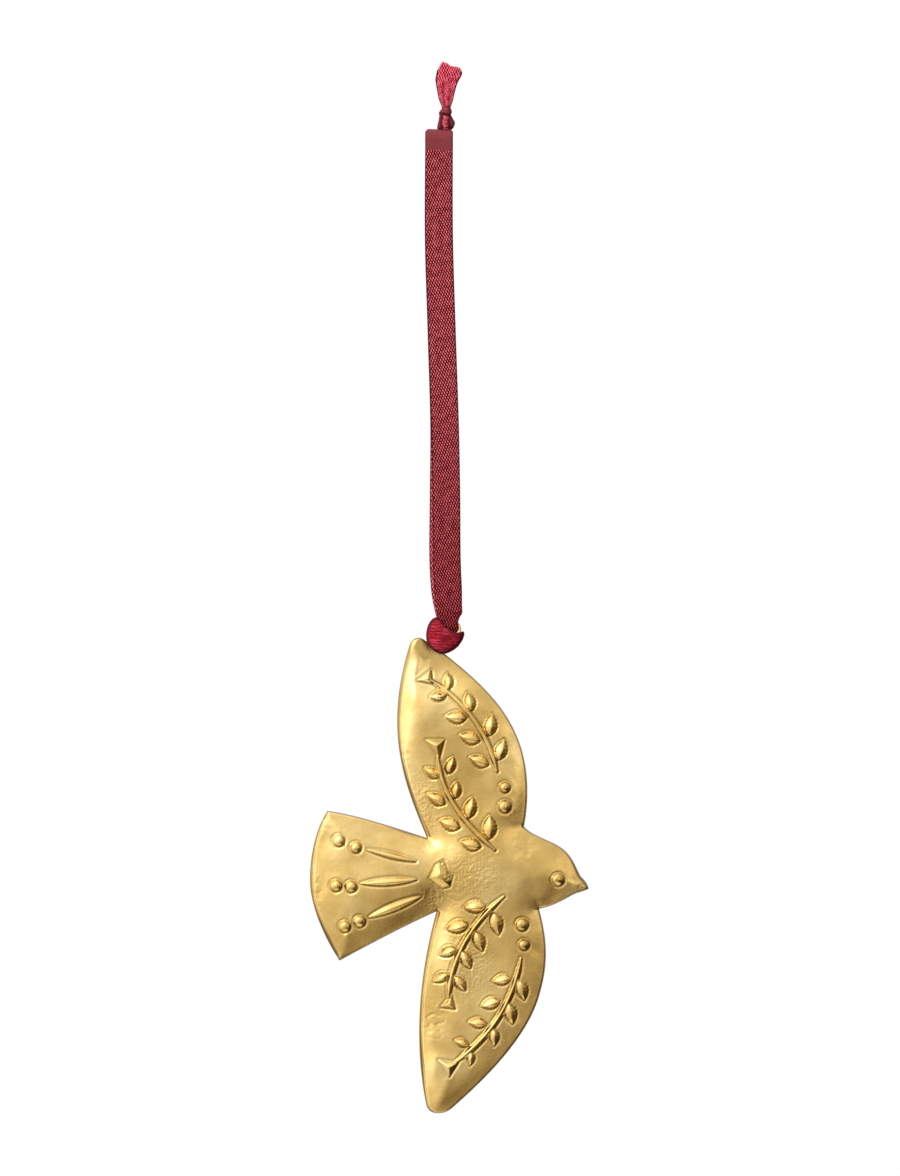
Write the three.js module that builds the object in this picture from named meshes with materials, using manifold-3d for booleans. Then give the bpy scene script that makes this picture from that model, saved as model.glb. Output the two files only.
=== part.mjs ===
// Brass bird ornament on a ribbon loop, in millimetres, with +Z up. The bird's front faces -Y.
// The origin is the underside of the ribbon's top fold, where the loop hangs on a hook or a twig.

import * as THREE from "three";
import { mergeVertices } from "three/addons/utils/BufferGeometryUtils.js";
import Module from "manifold-3d";

const wasm = await Module();
wasm.setup();

// Clearance between pieces that meet but aren't joined
const restGap = 0.3;
// Edges under this length are drawn together after a cut
const shortestEdge = 0.01;

// Ribbon
const ribbonWidth = 6.0;
const ribbonThickness = 0.45;
const loopLength = 106.2; // from the hanging point down to the lower ends of the strands
const foldRadius = 2.0; // inside of the top fold
const strandSpread = 0.75; // from the middle plane to each strand at its lower end

// Knot and cut tails, above the fold
const knotHeight = 4.4;
const knotWidth = 3.8;
const knotDepth = 3.2;
const knotOffset = 1.4; // the knot stands to the right of the hanging point
const tailLength = 10.1;
const tailSpread = 0.55; // from the middle plane to each tail

// Hitch of the ribbon on the ring
const hitchOffset = 3.6; // the ring's wire crosses the hitch to the right of the hanging point
const hitchDrop = 2.0; // from the strands' lower ends down to the ring's wire
const turnLength = 1.8; // along the wire
const turnWall = 0.6; // ribbon wound round the wire
const turnClearance = 0.55; // between the wire and the turn of ribbon
const bandThickness = 0.6;
const bandMargin = 1.5; // the band reaches this far past the ring
const bandStandoff = 2.6; // from the middle plane to the band's edge
const bandLean = 1.35; // the band's upper left edge lies this much nearer to the middle plane
const bandSwingRoom = 1.9; // room for the ring to swing behind the band
const bandShift = [-0.55, -0.2]; // from the ring's middle to the band's, as x and z
const bandCut = [122, 362]; // the slanted upper edge joins these two angles of its circle, in degrees
const bulgeAtRing = 0.75; // share of the band's bulge where the ring's side lies behind it
const neckFoot = 0.8; // the gathered neck's width and depth at the wire, as a share of the turn's

// Jump ring
const ringRadius = 3.1; // to the middle of the wire
const ringWire = 0.6; // diameter of the wire
const ringTurn = THREE.MathUtils.degToRad(42); // between the ring's plane and the bird's plane
const ringLean = THREE.MathUtils.degToRad(36); // between the vertical and the line from hole to hitch
const ringSplit = THREE.MathUtils.degToRad(4); // left open where the wire's ends meet

// Bird: two embossed sheets that meet at a flat seam
const birdWidth = 61.3; // from the tail to the beak
const birdHeight = 104.6; // from wing tip to wing tip
const sheetThickness = 0.3;
const seamWidth = 1.6;
const puffDepth = 2.3; // how far a wing's sheet stands off the seam plane
const puffReach = 5.0; // from the seam to the wing's full depth
const bodySwell = 1.1; // extra depth at the middle of the body
const holeWall = 0.75; // brass between the hole and the lug's edge
const holeClearance = 0.22; // between the wire and the hole's rim
const meshStep = 2.5; // spacing of the sheets' faces
const outlineSteps = 10; // straight pieces in each curve of the outline

// Relief on the front sheet
const reliefSink = 0.7; // each raised form starts this far behind the sheet's outer face
const leafWidth = 0.5; // of the leaf's length
const leafHeight = 0.85;
const stemWidth = 1.1;
const stemHeight = 0.7;
const flowerHeight = 0.8;
const dotHeight = 1.0;
const fluteHeight = 0.8;
const lumpHeight = 1.0;
const shoulderHeight = 0.85; // of a raised form's full height
// The top of each raised form, as shares of its foot along and across its own axis
const leafTop = [0.7, 0.2];
const fluteTop = [0.85, 0.25];
const flowerTop = [0.45, 0.45];
const roundTop = [0.6, 0.6];

// Sides of the round pieces
const wireSides = 10;
const dotSides = 10;
const knotSides = 12;
const turnSides = 16;
const holeSides = 20;

// The bird is drawn below in millimetres at this size, as x and z from a point near the tip of the
// upper wing, and the drawing is fitted to birdWidth and birdHeight.
const drawnWidth = 61.3;
const drawnHeight = 104.6;
const fitted = ([x, z]) => [(x * birdWidth) / drawnWidth, (z * birdHeight) / drawnHeight];

// Outlines of the bird's four lobes. Each row starts at an anchor, followed by the two handles of
// the curve to the next anchor.
const upperWing = [
  [-3.4, 4.0], [-2.2, 3.4], [-1.9, 4.75],
  [-0.15, 4.75], [0.87, 4.75], [1.7, 3.92],
  [1.7, 2.9], [1.7, 2.2], [1.15, 1.75],
  [0.75, 1.2], [9.8, -6.1], [19.3, -13.8],
  [19.1, -29.5], [19.1, -41.5], [14.0, -49.0],
  [7.5, -49.0], [1.5, -49.0], [-1.0, -44.0],
  [-3.0, -39.3], [-6.3, -31.5], [-9.9, -23.0],
  [-9.5, -12.0], [-9.3, -6.5], [-8.2, -1.5],
  [-6.9, 2.7], [-6.4, 4.6], [-4.6, 5.2],
];
const lowerWing = [
  [21.7, -55.0], [23.4, -61.5], [23.9, -66.5],
  [21.9, -73.5], [19.6, -82.5], [11.0, -91.5],
  [2.6, -98.8], [1.2, -100.2], [-2.2, -100.8],
  [-3.1, -98.3], [-6.5, -82.0], [-3.8, -66.0],
  [-0.9, -55.7], [1.0, -51.0], [6.0, -46.5],
  [12.0, -46.5], [17.0, -46.5], [20.5, -50.0],
];
const tail = [
  [-24.9, -33.5], [-20.0, -33.9], [-11.0, -36.8],
  [-3.0, -39.4], [3.0, -41.5], [8.0, -43.0],
  [8.0, -47.5], [8.0, -52.0], [3.0, -53.0],
  [-0.9, -55.6], [-8.0, -58.8], [-15.0, -62.5],
  [-22.2, -66.4], [-25.5, -61.5], [-28.6, -54.5],
  [-28.7, -49.0], [-28.8, -43.5], [-27.5, -37.5],
];
const body = [
  [-2.0, -47.3], [0.0, -40.0], [10.0, -37.0],
  [18.5, -37.0], [20.0, -38.8], [23.5, -39.7],
  [26.0, -41.2], [29.0, -43.0], [29.8, -46.0],
  [30.8, -47.8], [31.6, -48.6], [32.4, -49.4],
  [32.6, -50.6], [31.0, -51.4], [30.0, -51.4],
  [29.0, -52.0], [26.5, -53.4], [24.0, -54.7],
  [21.7, -55.0], [12.0, -56.5], [0.0, -55.0],
];
const swellCentre = [11.5, -46.0];
const swellReach = [15.0, 11.0];

// The sprigs: a stem as one curve, a three-sided flower, and leaves from root to tip
const sprigs = [
  {
    stem: [[-1.9, -4.7], [4.2, -8.6], [10.2, -15.0], [12.4, -24.7]],
    flower: [[-5.0, -4.9], [-2.1, -2.4], [-1.9, -5.3]],
    leaves: [
      [[1.8, -6.9], [1.6, -2.9]], [[6.9, -11.7], [5.8, -7.1]],
      [[10.6, -17.2], [11.3, -11.7]], [[12.4, -22.5], [14.1, -17.4]],
      [[1.6, -7.8], [-2.6, -8.4]], [[6.0, -13.0], [0.7, -12.6]],
      [[8.9, -18.1], [3.8, -16.6]], [[10.8, -23.4], [6.0, -21.4]],
    ],
  },
  {
    stem: [[-0.6, -21.4], [0.1, -28.9], [3.4, -34.4], [11.9, -41.9]],
    flower: [[-3.0, -17.9], [0.5, -17.9], [-0.4, -21.4]],
    leaves: [
      [[-0.2, -26.2], [-3.7, -23.8]], [[1.2, -32.0], [-3.2, -29.5]],
      [[4.5, -37.2], [-0.6, -35.3]], [[9.1, -41.4], [4.0, -39.9]],
      [[1.4, -25.4], [2.9, -21.2]], [[3.1, -30.9], [3.6, -26.5]],
      [[5.8, -35.3], [7.1, -30.0]], [[10.6, -39.9], [10.8, -33.9]],
    ],
  },
  {
    stem: [[13.9, -52.2], [6.4, -58.4], [2.0, -66.3], [1.8, -74.4]],
    flower: [[2.5, -74.0], [-0.2, -76.2], [3.4, -77.1]],
    leaves: [
      [[10.2, -54.2], [4.7, -54.6]], [[6.4, -58.1], [0.9, -59.5]],
      [[3.6, -63.4], [-0.6, -65.2]], [[1.8, -68.9], [-1.7, -71.1]],
      [[11.5, -55.3], [12.8, -61.0]], [[7.5, -59.5], [9.3, -64.5]],
      [[4.5, -63.9], [6.7, -68.3]], [[2.9, -69.4], [5.6, -73.1]],
    ],
  },
  {
    stem: [[17.7, -65.8], [16.1, -74.2], [12.2, -82.1], [3.4, -88.5]],
    flower: [[-0.2, -88.3], [3.8, -88.7], [2.0, -91.6]],
    leaves: [
      [[15.7, -70.0], [11.1, -70.9]], [[13.3, -74.9], [8.6, -76.4]],
      [[10.4, -80.1], [5.8, -79.7]], [[6.4, -84.8], [2.9, -83.7]],
      [[17.2, -70.2], [18.5, -75.3]], [[14.8, -75.3], [15.9, -80.6]],
      [[11.7, -81.0], [11.7, -85.4]], [[6.7, -86.1], [6.4, -89.6]],
    ],
  },
];

// Round dots as x, z and radius: two on each wing, the eye, and three pairs on the tail
const dots = [
  [14.1, -28.2, 1.2], [14.1, -32.4, 1.4],
  [17.9, -58.4, 1.4], [18.3, -62.8, 1.2],
  [25.8, -48.5, 1.4],
  [-22.4, -39.9, 1.3], [-18.6, -41.4, 1.2],
  [-23.0, -49.8, 1.3], [-19.7, -50.0, 1.3],
  [-21.1, -58.8, 1.3], [-17.8, -57.7, 1.3],
];

// Flutes of the tail, from end to end with a width, and the lump at the tail's root
const flutes = [
  [[-16.2, -41.9], [-5.4, -44.5], 1.4],
  [[-17.5, -49.3], [-5.2, -48.5], 1.8],
  [[-15.8, -56.8], [-4.3, -52.2], 1.8],
];
const tailLump = [[-2.4, -47.4], [0.5, -44.3], [2.7, -45.6], [2.3, -49.6], [1.2, -50.4]];

// The hole lies in the round lug at the wing's tip, square to this point of the lug's edge
const holeEdgePoint = new THREE.Vector2(...fitted([1.05, 4.3]));
const holeInward = new THREE.Vector2(-0.65, -0.76);

const holeRadius =
  (ringWire / 2 + holeClearance + sheetThickness * Math.cos(ringTurn)) / Math.sin(ringTurn);
const hole = holeEdgePoint.clone().addScaledVector(holeInward, holeWall + holeRadius);

// The ring's own directions: up from the hole to the hitch, and along the wire at both of them
const ringUp = new THREE.Vector3(Math.sin(ringLean), 0, Math.cos(ringLean));
const ringAcross = new THREE.Vector3(
  Math.cos(ringLean) * Math.cos(ringTurn),
  -Math.sin(ringTurn),
  -Math.sin(ringLean) * Math.cos(ringTurn),
);
const hitchPoint = new THREE.Vector3(hitchOffset, 0, -(loopLength + hitchDrop));
const ringCentre = hitchPoint.clone().addScaledVector(ringUp, -ringRadius);
const holePoint = hitchPoint.clone().addScaledVector(ringUp, -2 * ringRadius);

const brass = { color: 0xd2ab63, roughness: 0.34, metalness: 1.0 };
const ribbonCloth = { color: 0x842132, roughness: 0.75, metalness: 0.0 };

function mesh(name, geometry, look) {
  const result = new THREE.Mesh(geometry, new THREE.MeshStandardMaterial(look));
  result.name = name;
  return result;
}

// Solids for cutting and joining, and back again

function toSolid(geometry) {
  const bare = geometry.clone();
  bare.deleteAttribute("normal");
  bare.deleteAttribute("uv");
  const merged = mergeVertices(bare, 1e-4);
  return new wasm.Manifold(
    new wasm.Mesh({
      numProp: 3,
      vertProperties: new Float32Array(merged.attributes.position.array),
      triVerts: new Uint32Array(merged.index.array),
    }),
  );
}

function toGeometry(solid) {
  const cut = solid.getMesh();
  return faces(cut.vertProperties, withoutShortEdges(cut.vertProperties, cut.triVerts));
}

// Cuts leave a few edges too short to matter. Each is drawn together into one corner, where its two
// faces are the only ones that vanish.
function withoutShortEdges(positions, triangles) {
  const corners = [];
  const around = Array.from({ length: positions.length / 3 }, () => new Set());
  for (let i = 0; i < triangles.length; i += 3) {
    corners.push([triangles[i], triangles[i + 1], triangles[i + 2]]);
    corners.at(-1).forEach((corner) => around[corner].add(corners.length - 1));
  }
  const place = (corner) => new THREE.Vector3().fromArray(positions, 3 * corner);
  const neighbours = (corner) => new Set([...around[corner]].flatMap((face) => corners[face]));
  const drawTogether = (kept, dropped) => {
    const beside = neighbours(dropped);
    const shared = [...neighbours(kept)].filter((corner) => beside.has(corner));
    if (shared.length !== 4) return false;
    for (const face of around[dropped]) {
      if (corners[face].includes(kept)) {
        corners[face].forEach((corner) => corner !== dropped && around[corner].delete(face));
        corners[face] = null;
      } else {
        corners[face] = corners[face].map((corner) => (corner === dropped ? kept : corner));
        around[kept].add(face);
      }
    }
    around[dropped].clear();
    return true;
  };
  for (let face = 0; face < corners.length; face += 1) {
    for (let side = 0; corners[face] && side < 3; side += 1) {
      const [a, b] = [corners[face][side], corners[face][(side + 1) % 3]];
      if (place(a).distanceTo(place(b)) < shortestEdge) drawTogether(a, b);
    }
  }
  return corners.filter((face) => face).flat();
}

function faces(positions, triangles) {
  const geometry = new THREE.BufferGeometry();
  geometry.setAttribute("position", new THREE.BufferAttribute(new Float32Array(positions), 3));
  geometry.setIndex(new THREE.BufferAttribute(new Uint32Array(triangles), 1));
  geometry.computeVertexNormals();
  return geometry;
}

// A closed body through rings of points, from a first point to a last one. The rings run
// anticlockwise as seen from the last point.
function loft(first, rings, last) {
  const count = rings[0].length;
  const positions = [...first, ...rings.flat(2), ...last];
  const lastIndex = 1 + rings.length * count;
  const triangles = [];
  for (let i = 0; i < count; i += 1) {
    const next = (i + 1) % count;
    triangles.push(0, 1 + next, 1 + i);
    for (let ring = 0; ring + 1 < rings.length; ring += 1) {
      const low = 1 + ring * count;
      const high = low + count;
      triangles.push(low + i, low + next, high + next);
      triangles.push(low + i, high + next, high + i);
    }
    const top = lastIndex - count;
    triangles.push(top + i, top + next, lastIndex);
  }
  return faces(positions, triangles);
}

function middleOf(points) {
  return points[0].map((_, axis) => points.reduce((sum, point) => sum + point[axis], 0) / points.length);
}

// The bird

function lobeShape(rows) {
  const anchors = rows.map(fitted);
  const shape = new THREE.Shape();
  shape.moveTo(...anchors[0]);
  for (let i = 0; i < anchors.length; i += 3) {
    const end = anchors[(i + 3) % anchors.length];
    shape.bezierCurveTo(...anchors[i + 1], ...anchors[i + 2], ...end);
  }
  return shape;
}

const lobeShapes = [upperWing, lowerWing, tail, body].map(lobeShape);
const lobePoints = lobeShapes.map((shape) => shape.getPoints(outlineSteps));

// Distance from a point to a lobe's outline, positive inside
function depthInLobe(points, x, z) {
  let nearest = Infinity;
  let inside = false;
  for (let i = 0; i < points.length; i += 1) {
    const a = points[i];
    const b = points[(i + 1) % points.length];
    const edge = new THREE.Vector2().subVectors(b, a);
    const toPoint = new THREE.Vector2(x - a.x, z - a.y);
    const share = THREE.MathUtils.clamp(toPoint.dot(edge) / Math.max(edge.lengthSq(), 1e-9), 0, 1);
    nearest = Math.min(nearest, toPoint.addScaledVector(edge, -share).length());
    if (a.y > z !== b.y > z && x < a.x + ((z - a.y) * (b.x - a.x)) / (b.y - a.y)) {
      inside = !inside;
    }
  }
  return inside ? nearest : -nearest;
}

// How far the front sheet's inner face stands off the seam plane
function puff(x, z) {
  const fromEdge = Math.max(...lobePoints.map((points) => depthInLobe(points, x, z)));
  const fromHole = Math.hypot(x - hole.x, z - hole.y) - holeRadius;
  const rise = THREE.MathUtils.clamp((Math.min(fromEdge, fromHole) - seamWidth) / puffReach, 0, 1);
  const [centreX, centreZ] = fitted(swellCentre);
  const [reachX, reachZ] = fitted(swellReach);
  const offX = (x - centreX) / reachX;
  const offZ = (z - centreZ) / reachZ;
  const swell = bodySwell * Math.exp(-(offX * offX + offZ * offZ));
  return (puffDepth + swell) * Math.sin((rise * Math.PI) / 2);
}

// A block over the outline's box, from a flat back at backY to a front face that follows the puff,
// standing off it by the given amount
function puffedBlock(backY, standoff) {
  const box = new THREE.Box2().setFromPoints(lobePoints.flat()).expandByScalar(meshStep);
  const columns = Math.ceil((box.max.x - box.min.x) / meshStep);
  const rows = Math.ceil((box.max.y - box.min.y) / meshStep);
  const front = [];
  const border = [];
  for (let row = 0; row <= rows; row += 1) {
    for (let column = 0; column <= columns; column += 1) {
      const x = box.min.x + column * meshStep;
      const z = box.min.y + row * meshStep;
      front.push(x, -puff(x, z) - standoff, z);
    }
  }
  const across = columns + 1;
  const triangles = [];
  for (let row = 0; row < rows; row += 1) {
    for (let column = 0; column < columns; column += 1) {
      const a = row * across + column;
      const [b, c, d] = [a + 1, a + across + 1, a + across];
      triangles.push(a, b, c, a, c, d);
    }
  }
  for (let column = 0; column < columns; column += 1) border.push(column);
  for (let row = 0; row < rows; row += 1) border.push(row * across + columns);
  for (let column = columns; column > 0; column -= 1) border.push(rows * across + column);
  for (let row = rows; row > 0; row -= 1) border.push(row * across);
  const backStart = front.length / 3;
  const back = border.flatMap((index) => [front[3 * index], backY, front[3 * index + 2]]);
  const backMiddle = [(box.min.x + box.max.x) / 2, backY, (box.min.y + box.max.y) / 2];
  const middleIndex = backStart + border.length;
  border.forEach((index, i) => {
    const next = (i + 1) % border.length;
    triangles.push(backStart + i, backStart + next, border[next], backStart + i, border[next], index);
    triangles.push(middleIndex, backStart + next, backStart + i);
  });
  return toSolid(faces([...front, ...back, ...backMiddle], triangles));
}

// The outline as an upright prism, with the hole through it
function outlinePrism() {
  const reach = 4 * (puffDepth + bodySwell);
  const prisms = lobeShapes.map((shape) => {
    const prism = new THREE.ExtrudeGeometry(shape, {
      depth: reach,
      bevelEnabled: false,
      curveSegments: outlineSteps,
    });
    prism.rotateX(Math.PI / 2);
    prism.translate(0, reach / 4, 0);
    return toSolid(prism);
  });
  const drill = new THREE.CylinderGeometry(holeRadius, holeRadius, 2 * reach, holeSides);
  drill.translate(hole.x, 0, hole.y);
  return prisms.reduce((sum, prism) => sum.add(prism)).subtract(toSolid(drill));
}

// A form pressed out of the sheet: its foot follows an outline, behind the sheet's outer face, and
// its top is the outline drawn in along and across its own axis.
function raisedForm(outline, axis, [along, across], height) {
  const middle = middleOf(outline);
  const onSheet = ([x, z], lift) => [x, -puff(x, z) - sheetThickness - lift, z];
  const drawnIn = ([x, z]) => {
    const offset = new THREE.Vector2(x - middle[0], z - middle[1]);
    const alongPart = offset.dot(axis) * along;
    const acrossPart = (axis.x * offset.y - axis.y * offset.x) * across;
    return [
      middle[0] + axis.x * alongPart - axis.y * acrossPart,
      middle[1] + axis.y * alongPart + axis.x * acrossPart,
    ];
  };
  const clockwise = THREE.ShapeUtils.isClockWise(outline.map(([x, z]) => new THREE.Vector2(x, z)));
  const ordered = clockwise ? [...outline].reverse() : outline;
  const foot = ordered.map((point) => onSheet(point, -reliefSink));
  const shoulder = ordered.map((point) => onSheet(drawnIn(point), height * shoulderHeight));
  return toSolid(loft(onSheet(middle, -reliefSink), [foot, shoulder], onSheet(middle, height)));
}

function roundOutline(x, z, radius, count) {
  return Array.from({ length: count }, (_, i) => {
    const angle = (2 * Math.PI * i) / count;
    return [x + radius * Math.cos(angle), z + radius * Math.sin(angle)];
  });
}

// Points round a long form, given as shares of its length and of its half width
function longOutline(from, to, halfWidth, profile) {
  const start = new THREE.Vector2(...from);
  const run = new THREE.Vector2(...to).sub(start);
  const side = new THREE.Vector2(-run.y, run.x).normalize();
  return profile.map(([share, offset]) =>
    start.clone().addScaledVector(run, share).addScaledVector(side, offset * halfWidth).toArray(),
  );
}

const leafProfile = [[0, 0], [0.3, -1], [0.62, -0.85], [1, 0], [0.62, 0.85], [0.3, 1]];
const fluteProfile = [
  [0, 0], [0.15, -0.7], [0.5, -1], [0.85, -0.7],
  [1, 0], [0.85, 0.7], [0.5, 1], [0.15, 0.7],
];

function leaf(ends) {
  const [root, tip] = ends.map(fitted);
  const run = new THREE.Vector2(tip[0] - root[0], tip[1] - root[1]);
  const outline = longOutline(root, tip, (leafWidth * run.length()) / 2, leafProfile);
  return raisedForm(outline, run.normalize(), leafTop, leafHeight);
}

function flute([drawnFrom, drawnTo, width]) {
  const [from, to] = [fitted(drawnFrom), fitted(drawnTo)];
  const axis = new THREE.Vector2(to[0] - from[0], to[1] - from[1]).normalize();
  return raisedForm(longOutline(from, to, width / 2, fluteProfile), axis, fluteTop, fluteHeight);
}

// A stem's ridge: a row of three-cornered sections along its curve
function stem(points) {
  const curve = new THREE.CubicBezierCurve(...points.map((point) => new THREE.Vector2(...fitted(point))));
  const steps = 9;
  const sections = [];
  for (let i = 0; i <= steps; i += 1) {
    const centre = curve.getPointAt(i / steps);
    const along = curve.getTangentAt(i / steps);
    const side = new THREE.Vector2(-along.y, along.x).multiplyScalar(stemWidth / 2);
    const onSheet = (point, lift) => [point.x, -puff(point.x, point.y) - sheetThickness - lift, point.y];
    sections.push([
      onSheet(centre.clone().sub(side), -reliefSink),
      onSheet(centre.clone().add(side), -reliefSink),
      onSheet(centre, stemHeight),
    ]);
  }
  return toSolid(loft(middleOf(sections[0]), sections, middleOf(sections[steps])));
}

const sideways = new THREE.Vector2(1, 0);

function relief() {
  const forms = [];
  for (const sprig of sprigs) {
    forms.push(stem(sprig.stem), raisedForm(sprig.flower.map(fitted), sideways, flowerTop, flowerHeight));
    forms.push(...sprig.leaves.map(leaf));
  }
  for (const [x, z, radius] of dots) {
    const outline = roundOutline(...fitted([x, z]), radius, dotSides);
    forms.push(raisedForm(outline, sideways, roundTop, dotHeight));
  }
  forms.push(...flutes.map(flute));
  forms.push(raisedForm(tailLump.map(fitted), sideways, roundTop, lumpHeight));
  return forms;
}

// The sheet's outer body is trimmed to the outline, and its hollow is cut out from behind, a hair
// short of the seam plane, so that the seam stays flat
const hollowShort = 0.01;
const outerBody = puffedBlock(0, sheetThickness).intersect(outlinePrism());
const hollow = puffedBlock(seamWidth, -hollowShort);
const plainSheet = outerBody.subtract(hollow);

function frontSheet() {
  return toGeometry(relief().reduce((sum, form) => sum.add(form), outerBody).subtract(hollow));
}

// The back sheet is the plain sheet seen in a mirror, so its faces are turned over
function backSheet() {
  const plain = toGeometry(plainSheet);
  plain.scale(1, -1, 1);
  plain.index.array.reverse();
  plain.computeVertexNormals();
  return plain;
}

function bird() {
  const group = new THREE.Group();
  group.position.set(holePoint.x - hole.x, 0, holePoint.z - hole.y);
  group.add(mesh("bird_front_sheet", frontSheet(), brass));
  group.add(mesh("bird_back_sheet", backSheet(), brass));
  return group;
}

// The jump ring: round wire bent to a circle, with a narrow split at its side, behind the band

class RingLine extends THREE.Curve {
  getPoint(share, target = new THREE.Vector3()) {
    const angle = Math.PI / 2 + ringSplit / 2 + share * (2 * Math.PI - ringSplit);
    return target.set(ringRadius * Math.cos(angle), ringRadius * Math.sin(angle), 0);
  }
}

function circle(radius) {
  return new THREE.Shape(roundOutline(0, 0, radius, wireSides).map(([x, y]) => new THREE.Vector2(x, y)));
}

function jumpRing() {
  const geometry = new THREE.ExtrudeGeometry(circle(ringWire / 2), {
    steps: 36,
    extrudePath: new RingLine(),
    bevelEnabled: false,
  });
  const ring = mesh("jump_ring", geometry, brass);
  const normal = new THREE.Vector3().crossVectors(ringUp, ringAcross);
  ring.position.copy(ringCentre);
  ring.quaternion.setFromRotationMatrix(new THREE.Matrix4().makeBasis(ringUp, ringAcross, normal));
  return ring;
}

// The ribbon

// Flat section with eight corners, its width along x and its thickness along y
function ribbonSection() {
  const [wide, thick, corner] = [ribbonWidth / 2, ribbonThickness / 2, ribbonThickness / 4];
  return new THREE.Shape([
    new THREE.Vector2(wide, -thick + corner),
    new THREE.Vector2(wide, thick - corner),
    new THREE.Vector2(wide - corner, thick),
    new THREE.Vector2(-wide + corner, thick),
    new THREE.Vector2(-wide, thick - corner),
    new THREE.Vector2(-wide, -thick + corner),
    new THREE.Vector2(-wide + corner, -thick),
    new THREE.Vector2(wide - corner, -thick),
  ]);
}

// The strands drift sideways on the way down, as the hanging loop does. Each row is a share of the
// way down and the sideways place of the front and of the back strand.
const strandDrift = [
  [0.0, -0.2, -0.2],
  [0.2, -0.2, -0.3],
  [0.4, 0.4, 0.3],
  [0.6, 1.1, 0.9],
  [0.75, 1.4, 0.8],
  [0.88, 1.5, 0.7],
  [0.96, 1.9, 1.3],
  [1.0, 1.9, 1.8],
];

function strand(name, side) {
  const top = -foldRadius - restGap;
  const spreadAtTop = foldRadius + ribbonThickness / 2;
  const route = strandDrift.map(([share, front, back]) => {
    const spread = THREE.MathUtils.lerp(spreadAtTop, strandSpread, share);
    return new THREE.Vector3(
      side < 0 ? front : back,
      side * spread,
      THREE.MathUtils.lerp(top, -loopLength, share),
    );
  });
  const geometry = new THREE.ExtrudeGeometry(ribbonSection(), {
    steps: 16,
    extrudePath: new THREE.CatmullRomCurve3(route),
    bevelEnabled: false,
  });
  return mesh(name, geometry, ribbonCloth);
}

class FoldLine extends THREE.Curve {
  getPoint(share, target = new THREE.Vector3()) {
    const radius = foldRadius + ribbonThickness / 2;
    const angle = Math.PI * (1 - share);
    return target.set(0, radius * Math.cos(angle), radius * Math.sin(angle));
  }
}

function topFold() {
  const geometry = new THREE.ExtrudeGeometry(ribbonSection(), {
    steps: 12,
    extrudePath: new FoldLine(),
    bevelEnabled: false,
  });
  const fold = mesh("ribbon_fold", geometry, ribbonCloth);
  fold.position.set(strandDrift[0][1], 0, -foldRadius);
  return fold;
}

// The knot's rows are shares of its height and of its width, from the fold up to its neck
const knotProfile = [[0, 0.6], [0.2, 1], [0.5, 1], [0.72, 0.78], [0.82, 0.86], [1, 0.5]];

function knot() {
  const rings = knotProfile.map(([up, wide]) =>
    roundOutline(0, 0, wide / 2, knotSides).map(([x, y]) => [x * knotWidth, y * knotDepth, up * knotHeight]),
  );
  const result = mesh("ribbon_knot", loft([0, 0, 0], rings, [0, 0, knotHeight]), ribbonCloth);
  result.position.set(knotOffset, 0, ribbonThickness + restGap);
  return result;
}

// Outlines of the two cut tails: sideways from the knot's middle in millimetres, and up as a share
// of the tail's length
const leftTail = [
  [-0.4, 0.0], [0.4, 0.0], [1.4, 0.26], [1.8, 0.5], [1.8, 0.84], [-1.0, 1.0],
  [-1.9, 0.8], [-2.5, 0.58], [-1.9, 0.32], [-1.0, 0.13],
];
const rightTail = [
  [-0.1, 0.0], [0.8, 0.0], [1.8, 0.2], [2.7, 0.47], [3.4, 0.7], [3.2, 0.8],
  [0.4, 0.93], [-1.2, 0.76], [-1.4, 0.5], [-0.8, 0.2],
];

function cutTail(name, outline, side) {
  const shape = new THREE.Shape(outline.map(([x, up]) => new THREE.Vector2(x, up * tailLength)));
  const geometry = new THREE.ExtrudeGeometry(shape, { depth: ribbonThickness, bevelEnabled: false });
  geometry.rotateX(Math.PI / 2);
  const result = mesh(name, geometry, ribbonCloth);
  const middle = side * tailSpread + ribbonThickness / 2;
  result.position.set(knotOffset, middle, ribbonThickness + 2 * restGap + knotHeight);
  return result;
}

// The gathered ribbon under the strands, and its turn round the ring's wire
function hitchTurn() {
  const strandX = strandDrift.at(-1)[1];
  const topZ = -loopLength - restGap;
  const boreRadius = ringWire / 2 + turnClearance;
  const turnRadius = boreRadius + turnWall;
  const halfDepth = strandSpread + ribbonThickness / 2;
  const section = (x, z, halfWidth, depth) => [
    [x - halfWidth, -depth, z],
    [x + halfWidth, -depth, z],
    [x + halfWidth, depth, z],
    [x - halfWidth, depth, z],
  ];
  const lowZ = hitchPoint.z + boreRadius;
  const shoulderZ = lowZ + restGap;
  const neck = loft(
    [hitchOffset, 0, lowZ],
    [
      section(hitchOffset, lowZ, (turnLength * neckFoot) / 2, halfDepth * neckFoot),
      section(strandX, shoulderZ, ribbonWidth / 2 - restGap, halfDepth),
      section(strandX, topZ, ribbonWidth / 2, halfDepth),
    ],
    [strandX, 0, topZ],
  );
  const alongWire = new THREE.Quaternion().setFromUnitVectors(new THREE.Vector3(0, 1, 0), ringAcross);
  const boreLength = 3 * ribbonWidth; // right through the turn and the neck
  const wound = new THREE.CylinderGeometry(turnRadius, turnRadius, turnLength, turnSides);
  const bore = new THREE.CylinderGeometry(boreRadius, boreRadius, boreLength, turnSides);
  for (const cylinder of [wound, bore]) {
    cylinder.applyQuaternion(alongWire);
    cylinder.translate(hitchPoint.x, hitchPoint.y, hitchPoint.z);
  }
  const solid = toSolid(neck).add(toSolid(wound)).subtract(toSolid(bore));
  return mesh("hitch_turn", toGeometry(solid), ribbonCloth);
}

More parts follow.
